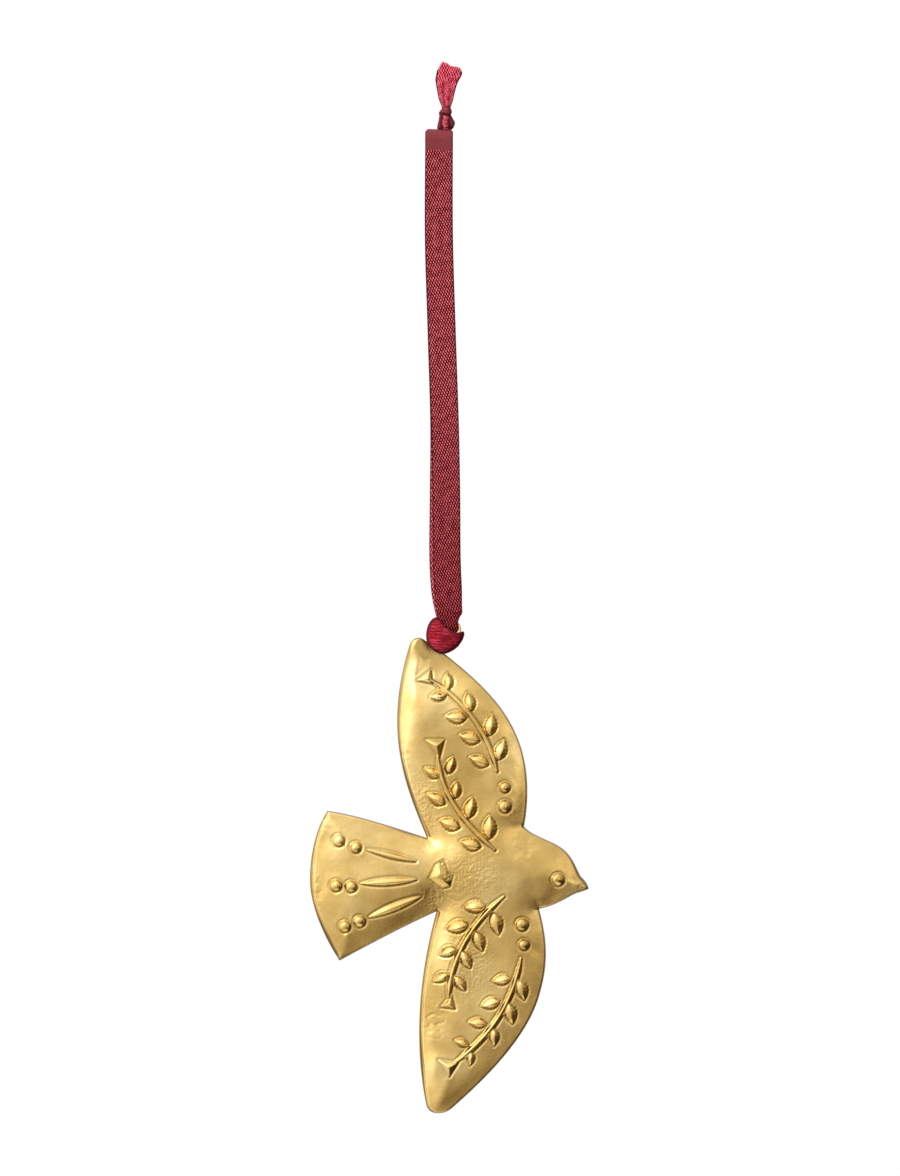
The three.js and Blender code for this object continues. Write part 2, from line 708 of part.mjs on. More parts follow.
// The band of the hitch: a bulged flap in front of the ring, round below and cut slantwise above
function hitchBand() {
  const radius = ringRadius * Math.cos(ringTurn) + ringWire / 2 + bandMargin;
  const centreX = ringCentre.x + bandShift[0];
  const centreZ = ringCentre.z + bandShift[1];
  const ringReach = ringRadius * Math.sin(ringTurn) + ringWire / 2;
  const dome = (ringReach + bandSwingRoom - bandStandoff) / bulgeAtRing;
  const [startAngle, endAngle] = bandCut.map(THREE.MathUtils.degToRad);
  const arcSteps = 18;
  const outline = [];
  for (let i = 0; i <= arcSteps; i += 1) {
    const angle = THREE.MathUtils.lerp(startAngle, endAngle, i / arcSteps);
    outline.push([radius * Math.cos(angle), radius * Math.sin(angle)]);
  }
  for (const share of [0.75, 0.5, 0.25]) {
    const from = outline[0];
    const to = outline[arcSteps];
    outline.push([THREE.MathUtils.lerp(from[0], to[0], share), THREE.MathUtils.lerp(from[1], to[1], share)]);
  }
  const middle = middleOf(outline);
  const surface = (share, thickness) =>
    outline.map(([x, z]) => {
      const px = THREE.MathUtils.lerp(middle[0], x, share);
      const pz = THREE.MathUtils.lerp(middle[1], z, share);
      const edge = bandStandoff - (bandLean * (pz - px)) / (radius * Math.SQRT2);
      return [centreX + px, -(edge + dome * Math.sqrt(1 - share * share) + thickness), centreZ + pz];
    });
  const middlePoint = (thickness) => middleOf(surface(0, thickness));
  const shares = [0.35, 0.65, 0.88, 1];
  const rings = [
    ...shares.map((share) => surface(share, 0)),
    ...shares.toReversed().map((share) => surface(share, bandThickness)),
  ];
  return mesh("hitch_band", loft(middlePoint(0), rings, middlePoint(bandThickness)), ribbonCloth);
}

const ornament = new THREE.Group();
ornament.add(
  topFold(),
  strand("ribbon_front_strand", -1),
  strand("ribbon_back_strand", 1),
  knot(),
  cutTail("ribbon_tail_left", leftTail, -1),
  cutTail("ribbon_tail_right", rightTail, 1),
  hitchTurn(),
  hitchBand(),
  jumpRing(),
  bird(),
);

export default ornament;
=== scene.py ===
"""Looks for the brass bird ornament on its ribbon loop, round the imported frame.

Drawings are in millimetres, as x to the right and z up, and are turned into metres when a mesh is made.
"""

import math
import random

import bmesh
import bpy
import numpy as np
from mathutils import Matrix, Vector, noise
from mathutils.geometry import delaunay_2d_cdt


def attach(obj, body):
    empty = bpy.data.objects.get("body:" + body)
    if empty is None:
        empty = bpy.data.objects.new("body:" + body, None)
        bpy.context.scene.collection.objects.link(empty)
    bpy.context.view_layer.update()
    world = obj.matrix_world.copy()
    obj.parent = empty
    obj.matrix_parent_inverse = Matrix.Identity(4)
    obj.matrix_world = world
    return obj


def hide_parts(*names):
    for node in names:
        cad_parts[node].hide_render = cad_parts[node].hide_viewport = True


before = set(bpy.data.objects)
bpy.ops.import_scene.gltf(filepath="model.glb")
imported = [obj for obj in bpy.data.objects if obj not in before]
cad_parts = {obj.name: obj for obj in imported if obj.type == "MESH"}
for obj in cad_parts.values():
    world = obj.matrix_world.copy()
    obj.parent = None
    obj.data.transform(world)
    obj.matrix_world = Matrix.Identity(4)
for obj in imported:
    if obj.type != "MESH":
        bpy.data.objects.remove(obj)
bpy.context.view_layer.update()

MM = 0.001

# The photograph's frame: one pixel is this many millimetres, and this pixel shows the frame's origin
PIXEL = 0.22
PHOTO_SIZE = (900, 1176)
ORIGIN_PIXEL = (440, 131)
CAMERA_DISTANCE = 1500.0
SENSOR = 36.0


def at_pixel(px, py):
    """The x and z in the frame, in millimetres, that a pixel of the photograph shows."""
    return (px - ORIGIN_PIXEL[0]) * PIXEL, (ORIGIN_PIXEL[1] - py) * PIXEL


def add_object(name, data):
    made = bpy.data.objects.new(name, data)
    bpy.context.scene.collection.objects.link(made)
    return made


def make_camera():
    data = bpy.data.cameras.new("camera")
    data.sensor_width = SENSOR
    data.lens = SENSOR * CAMERA_DISTANCE / (PHOTO_SIZE[1] * PIXEL)
    data.clip_start = 0.1
    data.clip_end = 20.0
    camera = add_object("camera", data)
    x, z = at_pixel(PHOTO_SIZE[0] / 2, PHOTO_SIZE[1] / 2)
    camera.location = (x * MM, -CAMERA_DISTANCE * MM, z * MM)
    camera.rotation_euler = (math.pi / 2, 0, 0)
    bpy.context.scene.camera = camera


# Meshes


def mix(a, b, share):
    return a + (b - a) * share


def smooth_step(low, high, value):
    share = np.clip((value - low) / (high - low), 0.0, 1.0)
    return share * share * (3 - 2 * share)


def new_piece(name, points, faces, material, uv=None):
    """A smooth-shaded mesh from points in millimetres, with one pair of weave coordinates per point."""
    mesh = bpy.data.meshes.new(name)
    mesh.from_pydata((np.asarray(points, float) * MM).tolist(), [], faces)
    mesh.validate()
    mesh.shade_smooth()
    if uv is not None:
        layer = mesh.uv_layers.new(name="weave")
        corners = np.zeros(len(mesh.loops), np.int32)
        mesh.loops.foreach_get("vertex_index", corners)
        layer.data.foreach_set("uv", np.asarray(uv, np.float32)[corners].ravel())
    mesh.materials.append(material)
    return add_object(name, mesh)


def loft_faces(count, around):
    """Quads between rings of points that each run all the way round."""
    faces = []
    for low in range(0, (count - 1) * around, around):
        for i in range(around):
            j = (i + 1) % around
            faces.append((low + i, low + j, low + around + j, low + around + i))
    return faces


def closed_loft(name, rings, material, uv=None):
    """A closed body through rings of points, with its first and last ring filled in."""
    rings = np.asarray(rings, float)
    count, around = rings.shape[:2]
    faces = loft_faces(count, around)
    faces.append(tuple(reversed(range(around))))
    faces.append(tuple(range((count - 1) * around, count * around)))
    flat_uv = None if uv is None else np.asarray(uv, float).reshape(-1, 2)
    return new_piece(name, rings.reshape(-1, 3), faces, material, flat_uv)


def full_circle(sides):
    """The angles round a section, with their cosines and sines."""
    turns = 2 * math.pi * np.arange(sides) / sides
    return turns, np.cos(turns), np.sin(turns)


def cubic(a, b, c, d, share):
    share = np.asarray(share, float)[:, None]
    a, b, c, d = (np.asarray(p, float)[None] for p in (a, b, c, d))
    rest = 1 - share
    return a * rest**3 + 3 * b * rest**2 * share + 3 * c * rest * share**2 + d * share**3


def through(rows, shares):
    """Smooth values through rows of (share, value, ...), at the given shares."""
    table = np.asarray(rows, float)
    fine = np.linspace(0, len(table) - 1, 12 * len(table))
    low = np.clip(fine.astype(int), 0, len(table) - 2)
    part = (fine - low)[:, None]
    before = table[np.maximum(low - 1, 0)]
    start, end = table[low], table[low + 1]
    after = table[np.minimum(low + 2, len(table) - 1)]
    curve = 0.5 * (
        2 * start
        + (end - before) * part
        + (2 * before - 5 * start + 4 * end - after) * part**2
        + (3 * start - before - 3 * end + after) * part**3
    )
    return np.stack([np.interp(shares, curve[:, 0], curve[:, k]) for k in range(1, table.shape[1])], axis=1)


# Materials


def node(tree, kind, **values):
    """A shader node with some of its settings and inputs given by name."""
    made = tree.nodes.new(kind)
    for name, value in values.items():
        if hasattr(made, name):
            setattr(made, name, value)
        else:
            made.inputs[name.replace("_", " ")].default_value = value
    return made


def feed(tree, socket, value):
    """Link a socket to another node's output, or set it to a number or a colour."""
    if isinstance(value, bpy.types.NodeSocket):
        tree.links.new(value, socket)
    else:
        socket.default_value = value


def dress(tree, shader, **values):
    """Feed the shader's inputs by name."""
    for name, value in values.items():
        feed(tree, shader.inputs[name.replace("_", " ")], value)


def colour(red, green, blue):
    """A colour given as it looks on a screen, from 0 to 255, as Blender's linear numbers."""
    linear = [
        v / 255 / 12.92 if v / 255 <= 0.04045 else ((v / 255 + 0.055) / 1.055) ** 2.4
        for v in (red, green, blue)
    ]
    return (*linear, 1.0)


def new_material(name):
    material = bpy.data.materials.new(name)
    material.use_nodes = True
    tree = material.node_tree
    return material, tree, tree.nodes["Principled BSDF"]


def maths(tree, operation, *values):
    made = node(tree, "ShaderNodeMath", operation=operation)
    for socket, value in zip(made.inputs, values):
        feed(tree, socket, value)
    return made.outputs[0]


def total(tree, first, *others):
    for other in others:
        first = maths(tree, "ADD", first, other)
    return first


def vector_maths(tree, operation, vector, other):
    made = node(tree, "ShaderNodeVectorMath", operation=operation)
    feed(tree, made.inputs[0], vector)
    feed(tree, made.inputs[1], other)
    return made.outputs


def ramp(tree, source, stops):
    made = tree.nodes.new("ShaderNodeValToRGB")
    elements = made.color_ramp.elements
    elements[0].position, elements[0].color = stops[0]
    elements[1].position, elements[1].color = stops[-1]
    for position, shade in stops[1:-1]:
        elements.new(position).color = shade
    feed(tree, made.inputs[0], source)
    return made.outputs["Color"]


# Where a Mix node keeps its two inputs and its output
MIX_SOCKETS = {"RGBA": (6, 7, 2), "FLOAT": (2, 3, 0)}


def mixed(tree, share, first, second, data_type="RGBA", blend_type="MIX"):
    """The first value, turned into the second as far as the share says."""
    made = node(tree, "ShaderNodeMix", data_type=data_type, blend_type=blend_type)
    first_socket, second_socket, result = MIX_SOCKETS[data_type]
    feed(tree, made.inputs[0], share)
    feed(tree, made.inputs[first_socket], first)
    feed(tree, made.inputs[second_socket], second)
    return made.outputs[result]


def ranged(tree, value, start, end, kind="SMOOTHSTEP"):
    """From 0 at the start value to 1 at the end value."""
    made = node(tree, "ShaderNodeMapRange", interpolation_type=kind, From_Min=start, From_Max=end)
    feed(tree, made.inputs["Value"], value)
    return made.outputs["Result"]


def band_of(tree, value, low, high, blur):
    """One between low and high, and zero outside."""
    rising = ranged(tree, value, low - blur, low + blur)
    falling = ranged(tree, value, high + blur, high - blur)
    return maths(tree, "MULTIPLY", rising, falling)


def noise_texture(tree, vector, **settings):
    made = node(tree, "ShaderNodeTexNoise", **settings)
    feed(tree, made.inputs["Vector"], vector)
    return made.outputs["Fac"]


def noise_between(tree, vector, size, reach, stretch=None):
    """Noise about zero, with bumps about as wide as the given size."""
    if stretch is not None:
        vector = vector_maths(tree, "MULTIPLY", vector, (*stretch, 1.0))[0]
    texture = noise_texture(tree, vector, Scale=1 / size, Detail=3.0, Roughness=0.6)
    return maths(tree, "MULTIPLY", maths(tree, "SUBTRACT", texture, 0.5), reach)


def bump(tree, height, strength, distance):
    made = node(tree, "ShaderNodeBump", Strength=strength, Distance=distance)
    feed(tree, made.inputs["Height"], height)
    return made


def painted_shade_of(tree):
    return node(tree, "ShaderNodeAttribute", attribute_name="painted_shade").outputs["Fac"]


BRASS_STOPS = [(0.3, colour(194, 158, 88)), (0.5, colour(214, 179, 108)), (0.7, colour(233, 204, 138))]
# Dark brass mixed in as painted shade
BRASS_PAINTED_SHADE = colour(88, 62, 20)


def brass_material(name, mottle):
    """Softly worn brass. The painted shade attribute, from 0 to 1, darkens its grooves and its edge with
    painted shade.
    """
    material, tree, shader = new_material(name)
    place = node(tree, "ShaderNodeTexCoord").outputs["Object"]
    broad = noise_texture(tree, place, Scale=70.0, Detail=5.0, Roughness=0.6)
    fine = noise_texture(tree, place, Scale=620.0, Detail=4.0, Roughness=0.6)
    pits = noise_texture(tree, place, Scale=2400.0, Detail=2.0, Roughness=0.5)
    tone = ramp(tree, broad, BRASS_STOPS)
    small = bump(tree, fine, mottle, 0.00012)
    tiny = bump(tree, pits, 0.3, 0.00004)
    feed(tree, tiny.inputs["Normal"], small.outputs["Normal"])
    dress(
        tree,
        shader,
        Base_Color=mixed(tree, painted_shade_of(tree), tone, BRASS_PAINTED_SHADE),
        Roughness=maths(tree, "MULTIPLY_ADD", fine, 0.2, 0.16),
        Metallic=1.0,
        Normal=tiny.outputs["Normal"],
    )
    return material


# The weave's flecks stand where two sets of waves meet, in waves per millimetre across and along
FLECK_WAVES = ((1.796, -0.672), (1.6, 1.091))
# The ribbon's plain side has fine ribs this far apart
RIB_SPACING = 0.29
PLAIN_STOPS = [(0.15, colour(98, 36, 42)), (0.5, colour(130, 56, 62)), (0.9, colour(154, 76, 80))]
# Painted shade along both edges of the ribbon
EDGE_PAINTED_SHADE = colour(66, 8, 16)
EDGE_SHADE_BLUR = 0.1
# The loop is a little darker from this far along it down to its start
LOW_STRETCH = 50.0
LOW_TINT = colour(222, 196, 198)
# Dark red mixed into wound ribbon as painted shade
WOUND_PAINTED_SHADE = colour(52, 5, 14)


def weave_of(tree):
    return node(tree, "ShaderNodeUVMap", uv_map="weave").outputs["UV"]


def waves(tree, value, per_millimetre):
    return maths(tree, "COSINE", maths(tree, "MULTIPLY", value, 2 * math.pi * per_millimetre))


def finish_cloth(tree, shader, tone, height, strength):
    dress(
        tree,
        shader,
        Base_Color=tone,
        Roughness=maths(tree, "MULTIPLY_ADD", height, -0.18, 0.72),
        Normal=bump(tree, height, strength, 0.00014).outputs["Normal"],
        Sheen_Weight=0.015,
        Sheen_Roughness=0.4,
        Specular_IOR_Level=0.05,
    )


def woven_height(tree, uv, unrest):
    """Height of the flecks in staggered rows, from about 0 to 1, made uneven."""
    ways = [vector_maths(tree, "DOT_PRODUCT", uv, (*way, 0.0))["Value"] for way in FLECK_WAVES]
    flecks = total(tree, *[waves(tree, way, 1.0) for way in ways])
    lattice = maths(tree, "MULTIPLY_ADD", flecks, 0.3, 0.46)
    wander = noise_between(tree, uv, 1.3, 0.7 * unrest)
    stray = noise_between(tree, uv, 1.0, 0.8 * unrest, stretch=(4.0, 1.2))
    return total(tree, lattice, wander, stray)


def woven_tone(tree, height, shades):
    return ramp(tree, height, list(zip((0.18, 0.5, 0.92), shades)))


def ribbon_material(name, shades, patch=None, back_shades=None, unrest=1.0, edge_width=0.17):
    """Woven ribbon on its weave coordinates: flecks in staggered rows, with painted shade along both edges.

    patch is the stretch, as two lengths along the ribbon, where it shows its plain ribbed side;
    beyond it the ribbon has the back's shades, and towards its start it is a little darker."""
    material, tree, shader = new_material(name)
    uv = weave_of(tree)
    parts = node(tree, "ShaderNodeSeparateXYZ")
    feed(tree, parts.inputs[0], uv)
    across, along = parts.outputs["X"], parts.outputs["Y"]
    height = woven_height(tree, uv, unrest)
    tone = woven_tone(tree, height, shades)
    if patch is not None:
        behind = ranged(tree, along, patch[1], patch[1] + 2, "LINEAR")
        tone = mixed(tree, behind, tone, woven_tone(tree, height, back_shades))
        ribs = maths(tree, "MULTIPLY_ADD", waves(tree, across, 1 / RIB_SPACING), 0.12, 0.45)
        plain_height = total(tree, ribs, noise_between(tree, uv, 0.5, 0.5))
        inside = band_of(tree, along, *patch, 0.15)
        tone = mixed(tree, inside, tone, ramp(tree, plain_height, PLAIN_STOPS))
        height = mixed(tree, inside, height, plain_height, data_type="FLOAT")
        low = ranged(tree, along, LOW_STRETCH, 0.0, "LINEAR")
        tone = mixed(tree, low, tone, LOW_TINT, blend_type="MULTIPLY")
    between_edges = band_of(tree, across, edge_width, RIBBON_WIDTH - edge_width, EDGE_SHADE_BLUR)
    finish_cloth(tree, shader, mixed(tree, between_edges, EDGE_PAINTED_SHADE, tone), height, 0.8)
    return material


def wound_material(name, stops):
    """Ribbon wound tightly round itself, its threads in long streaks across the weave coordinates.

    It darkens with painted shade where its attribute says, in creases and grooves, and where it turns out
    of sight."""
    material, tree, shader = new_material(name)
    uv = weave_of(tree)
    streaks = noise_between(tree, uv, 1.0, 1.4, stretch=(3.6, 0.45))
    fine = noise_between(tree, uv, 1.0, 0.6, stretch=(5.5, 1.6))
    broad = noise_between(tree, uv, 3.5, 0.3)
    height = total(tree, streaks, 0.5, fine, broad)
    turned = node(tree, "ShaderNodeLayerWeight", Blend=0.5).outputs["Facing"]
    # Painted shade where the surface turns out of sight
    away = maths(tree, "MULTIPLY", ranged(tree, turned, 0.5, 0.85), 0.9)
    shade = maths(tree, "MAXIMUM", painted_shade_of(tree), away)
    tone = mixed(tree, shade, ramp(tree, height, stops), WOUND_PAINTED_SHADE)
    finish_cloth(tree, shader, tone, height, 0.9)
    return material


# Shades of woven ribbon as dark, middle and fleck
STRAND_SHADES = (colour(50, 0, 2), colour(122, 14, 24), colour(232, 120, 128))
BACK_SHADES = (colour(108, 6, 22), colour(186, 46, 64), colour(240, 138, 146))
# The gathered strands are darker than the loop: painted shade where they pass under the band
SHADED_GATHER_SHADES = (colour(46, 0, 2), colour(100, 10, 18), colour(176, 72, 80))
TAIL_SHADES = (colour(116, 4, 24), colour(208, 50, 74), colour(244, 130, 146))
# Shades of wound ribbon, by height
BULB_STOPS = [(0.15, colour(66, 0, 8)), (0.5, colour(144, 16, 32)), (0.88, colour(208, 78, 96))]
# The knot's shades are lighter than the band's: on its strip they make a painted highlight, and painted
# shade darkens the rest
KNOT_HIGHLIGHT_STOPS = [(0.15, colour(110, 14, 26)), (0.5, colour(206, 76, 88)), (0.88, colour(248, 154, 164))]
# The stretch of the loop, in lengths along it, that shows its plain side
FOLD_PATCH = (101.9, 111.6)

# The ribbon's loop, which goes up in front, over the fold and down behind

RIBBON_WIDTH = 6.0
RIBBON_THICKNESS = 0.45
LOOP_LENGTH = 106.2
FOLD_RADIUS = 2.0
STRAND_SPREAD = 0.75
# A share of the way down, and the sideways place of the front and of the back strand
STRAND_DRIFT = [
    (0.0, -0.2, -0.2),
    (0.2, -0.2, -0.3),
    (0.4, 0.4, 0.3),
    (0.6, 1.1, 0.9),
    (0.75, 1.4, 0.8),
    (0.88, 1.5, 0.7),
    (0.96, 1.85, 1.2),
    (1.0, 2.1, 1.9),
]
LOOP_STEP = 0.4


def loop_route():
    """The middle line of the ribbon's loop, from the hitch up the front and down the back."""
    line_radius = FOLD_RADIUS + RIBBON_THICKNESS / 2
    count = int(LOOP_LENGTH / LOOP_STEP)
    shares = np.linspace(0, 1, count)
    drift = through(STRAND_DRIFT, shares)
    depth = mix(line_radius, STRAND_SPREAD, shares)
    z = mix(-FOLD_RADIUS, -LOOP_LENGTH, shares)
    front = np.stack([drift[:, 0], -depth, z], axis=1)[::-1]
    back = np.stack([drift[:, 1], depth, z], axis=1)
    angles = np.linspace(math.pi, 0, 20)[1:-1]
    fold = np.stack(
        [
            np.full(len(angles), STRAND_DRIFT[0][1]),
            line_radius * np.cos(angles),
            -FOLD_RADIUS + line_radius * np.sin(angles),
        ],
        axis=1,
    )
    return np.concatenate([front, fold, back])


SECTION_COLUMNS = 13
# Where the rounded edge of the ribbon begins, and its half height there, in half thicknesses
EDGE_START = 0.8
EDGE_HEIGHT = 0.35


def flat_section(half_width):
    """Points round a flat section with rounded edges, as across, outward and the place in the weave."""
    half_depth = RIBBON_THICKNESS / 2
    across = np.linspace(-1, 1, SECTION_COLUMNS) * (half_width - half_depth * EDGE_START)
    side = half_depth * EDGE_HEIGHT
    top = [(a, half_depth, a) for a in across]
    right = [(half_width, side, half_width), (half_width, -side, half_width)]
    bottom = [(a, -half_depth, a) for a in across[::-1]]
    left = [(-half_width, -side, -half_width), (-half_width, side, -half_width)]
    return np.array(top + right + bottom + left)


RIPPLE = 0.16


def ripple_at(across, length):
    """How far the limp ribbon stands out from its route, in waves about 4 mm wide and 11 mm long."""
    return RIPPLE * noise.noise(Vector((across * 0.25, length * 0.09, 3.0)))


def flat_tube(name, route, widths, material):
    """A flat ribbon along a route, its width along X."""
    ahead = np.gradient(route, axis=0)
    ahead /= np.linalg.norm(ahead, axis=1)[:, None]
    lengths = np.concatenate([[0], np.cumsum(np.linalg.norm(np.diff(route, axis=0), axis=1))])
    rings, uv = [], []
    for centre, way, width, length in zip(route, ahead, widths, lengths):
        side = np.array([1.0, 0.0, 0.0])
        side -= way * (side @ way)
        side /= np.linalg.norm(side)
        section = flat_section(width / 2)
        lift = np.array([ripple_at(across, length) for across in section[:, 0]])
        out = (section[:, 1] + lift)[:, None] * np.cross(side, way)
        rings.append(centre + section[:, 0:1] * side + out)
        uv.append([(across + RIBBON_WIDTH / 2, length) for across in section[:, 2]])
    return closed_loft(name, rings, material, uv)


# How much narrower the ribbon is drawn in where it goes over the fold, and at the hitch
FOLD_DRAW = 1.1
HITCH_DRAW = 0.4
SLACK_WIDTH = 0.1


def ribbon_loop(material):
    route = loop_route()
    widths = RIBBON_WIDTH + SLACK_WIDTH - FOLD_DRAW * smooth_step(-0.4, 0.5, route[:, 2])
    widths -= HITCH_DRAW * smooth_step(-100.0, -LOOP_LENGTH, route[:, 2])
    return flat_tube("ribbon_loop", route, widths, material), route


# The jump ring hangs in the ribbon's hitch, and the bird's hole hangs on its lower end

RING_RADIUS = 3.1
RING_WIRE = 0.6
RING_TURN = math.radians(42)
RING_LEAN = math.radians(36)
RING_SPLIT = math.radians(3)
HITCH_POINT = np.array([3.6, 0.0, -108.2])
RING_UP = np.array([math.sin(RING_LEAN), 0.0, math.cos(RING_LEAN)])
RING_ACROSS = np.array(
    [
        math.cos(RING_LEAN) * math.cos(RING_TURN),
        -math.sin(RING_TURN),
        -math.sin(RING_LEAN) * math.cos(RING_TURN),
    ]
)
RING_CENTRE = HITCH_POINT - RING_UP * RING_RADIUS
HOLE_POINT = HITCH_POINT - RING_UP * 2 * RING_RADIUS
# The wire is filed a little thinner at its two ends
END_TAPER = 0.86
RING_STEPS = 96
WIRE_SIDES = 20
WIRE_SHADE = 0.95
WIRE_TURNED = (0.45, 0.9)  # painted shade where it faces front or back less than the first, clear from the second


# Bird: the drawing is placed so that its hole lies where the ring passes

SHEET = 0.3
RIM_HEIGHT = 0.12  # of the outer face above the seam plane, right at the rim
RIM_ROUND = 0.25  # from the rim in to the sheet's full thickness
FLANGE = 0.55
FLANGE_WANDER = 0.35  # how much its width strays, as a share, in waves of the length below
FLANGE_WAVE = 5.0
WALL_HEIGHT = 1.0
STEEP_WALL = 0.35  # width of the wall on most sides
SLOPED_WALL = 2.6  # width of the wall at the upper wing's left
PUFF_DEPTH = 2.3
PUFF_REACH = 8.5
BODY_SWELL = 1.1
SWELL_AREA = (11.5, -46.0, 15.0, 11.0)  # x, z, half width and half height
HOLE = (-0.159, 2.886)
HOLE_RADIUS = 1.11
HOLE_FADE = (1.0, 15.0)  # from where the sheet lies low round the hole out to its full height
# Heights between which the upper wing's left wall turns from steep to sloped, and back at its top
SLOPE_FOOT = (-24.0, -14.0)
SLOPE_TOP = (3.0, 0.0)
LEFT_WALL = (-1.0, -6.0)  # between these x, left of the hole, the wall comes back up to half its height
LEFT_EDGE = (0.1, 0.9)  # growth of the depth per millimetre to the right where an edge faces left
GIVE_START = 0.3  # share of the puff's reach from which the sheet's unevenness is full
GIVE_AT_HOLE = 0.3  # share of it that is left by the hole
SEAM = (1.2, 0.1)  # from the flange in to where the puff starts, by the hole and elsewhere
BIRD_X = HOLE_POINT[0] - HOLE[0]
BIRD_Z = HOLE_POINT[2] - HOLE[1]

# Each row starts at an anchor of the outline, followed by the two handles of the curve to the next
UPPER_WING = [
    ((-3.4, 4.0), (-2.2, 3.4), (-1.9, 4.75)),
    ((-0.15, 4.75), (0.87, 4.75), (1.7, 3.92)),
    ((1.7, 2.9), (1.7, 2.2), (1.15, 1.75)),
    ((0.75, 1.2), (9.8, -6.1), (19.3, -13.8)),
    ((19.1, -29.5), (19.1, -41.5), (14.0, -49.0)),
    ((7.5, -49.0), (1.5, -49.0), (-1.0, -44.0)),
    ((-3.0, -39.3), (-6.3, -31.5), (-9.9, -23.0)),
    ((-9.5, -12.0), (-9.3, -6.5), (-8.2, -1.5)),
    ((-6.9, 2.7), (-6.4, 4.6), (-4.6, 5.2)),
]
LOWER_WING = [
    ((21.7, -55.0), (23.4, -61.5), (23.9, -66.5)),
    ((21.9, -73.5), (19.6, -82.5), (11.0, -91.5)),
    ((2.6, -98.8), (1.2, -100.2), (-2.2, -100.8)),
    ((-3.1, -98.3), (-6.5, -82.0), (-3.8, -66.0)),
    ((-0.9, -55.7), (1.0, -51.0), (6.0, -46.5)),
    ((12.0, -46.5), (17.0, -46.5), (20.5, -50.0)),
]
TAIL = [
    ((-24.9, -33.5), (-20.0, -33.9), (-11.0, -36.8)),
    ((-3.0, -39.4), (3.0, -41.5), (8.0, -43.0)),
    ((8.0, -47.5), (8.0, -52.0), (3.0, -53.0)),
    ((-0.9, -55.6), (-8.0, -58.8), (-15.0, -62.5)),
    ((-22.2, -66.4), (-25.5, -61.5), (-28.6, -54.5)),
    ((-28.7, -49.0), (-28.8, -43.5), (-27.5, -37.5)),
]
BODY = [
    ((-2.0, -47.3), (0.0, -40.0), (10.0, -37.0)),
    ((18.5, -37.0), (20.0, -38.8), (23.5, -39.7)),
    ((26.0, -41.2), (29.0, -43.0), (29.8, -46.0)),
    ((30.8, -47.8), (31.6, -48.6), (32.4, -49.4)),
    ((32.6, -50.6), (31.0, -51.4), (30.0, -51.4)),
    ((29.0, -52.0), (26.5, -53.4), (24.0, -54.7)),
    ((21.7, -55.0), (12.0, -56.5), (0.0, -55.0)),
]

# The sprigs: a stem as one curve, a three-sided flower, and leaves from root to tip
SPRIGS = [
    {
        "stem": ((-1.9, -4.7), (4.2, -8.6), (10.2, -15.0), (12.4, -24.7)),
        "flower": ((-5.1, -4.8), (-2.1, -2.5), (-1.7, -5.5)),
        "leaves": [
            ((1.8, -6.9), (1.6, -2.9)), ((6.9, -11.7), (5.8, -7.1)),
            ((10.6, -17.2), (11.3, -11.7)), ((12.4, -22.5), (14.1, -17.4)),
            ((1.6, -7.8), (-2.6, -8.4)), ((6.0, -13.0), (0.7, -12.6)),
            ((8.9, -18.1), (3.8, -16.6)), ((10.8, -23.4), (6.0, -21.4)),
        ],
    },
    {
        "stem": ((-0.6, -21.4), (0.1, -28.9), (3.4, -34.4), (11.9, -41.9)),
        "flower": ((-3.2, -17.8), (0.8, -17.8), (-0.3, -22.0)),
        "leaves": [
            ((-0.2, -26.2), (-3.7, -23.8)), ((1.2, -32.0), (-3.2, -29.5)),
            ((4.5, -37.2), (-0.6, -35.3)), ((9.1, -41.4), (4.0, -39.9)),
            ((1.4, -25.4), (2.9, -21.2)), ((3.1, -30.9), (3.6, -26.5)),
            ((5.8, -35.3), (7.1, -30.0)), ((10.6, -39.9), (10.8, -33.9)),
        ],
    },
    {
        "stem": ((13.9, -52.2), (6.4, -58.4), (2.0, -66.3), (1.8, -74.4)),
        "flower": ((2.4, -73.8), (0.1, -76.5), (3.2, -76.9)),
        "leaves": [
            ((10.2, -54.2), (4.7, -54.6)), ((6.4, -58.1), (0.9, -59.5)),
            ((3.6, -63.4), (-0.6, -65.2)), ((1.8, -68.9), (-1.7, -71.1)),
            ((11.5, -55.3), (12.8, -61.0)), ((7.5, -59.5), (9.3, -64.5)),
            ((4.5, -63.9), (6.7, -68.3)), ((2.9, -69.4), (5.6, -73.1)),
        ],
    },
    {
        "stem": ((17.7, -65.8), (16.1, -74.2), (12.2, -82.1), (3.4, -88.5)),
        "flower": ((-0.5, -88.1), (3.9, -88.7), (1.9, -91.8)),
        "leaves": [
            ((15.7, -70.0), (11.1, -70.9)), ((13.3, -74.9), (8.6, -76.4)),
            ((10.4, -80.1), (5.8, -79.7)), ((6.4, -84.8), (2.9, -83.7)),
            ((17.2, -70.2), (18.5, -75.3)), ((14.8, -75.3), (15.9, -80.6)),
            ((11.7, -81.0), (11.7, -85.4)), ((6.7, -86.1), (6.4, -89.6)),
        ],
    },
]
# Round dots as x, z and radius
DOTS = [
    (14.1, -28.2, 1.2), (14.1, -32.4, 1.4),
    (17.9, -58.4, 1.4), (18.3, -62.8, 1.2),
    (25.8, -48.5, 1.4),
    (-22.4, -39.9, 1.3), (-18.6, -41.4, 1.2),
    (-23.0, -49.8, 1.3), (-19.7, -50.0, 1.3),
    (-21.1, -58.8, 1.3), (-17.8, -57.7, 1.3),
]
# Flutes of the tail, from end to end with a width
FLUTES = [
    ((-16.2, -41.9), (-5.4, -44.5), 1.3),
    ((-17.5, -49.3), (-5.2, -48.5), 1.8),
    ((-15.8, -56.8), (-4.3, -52.2), 1.8),
]
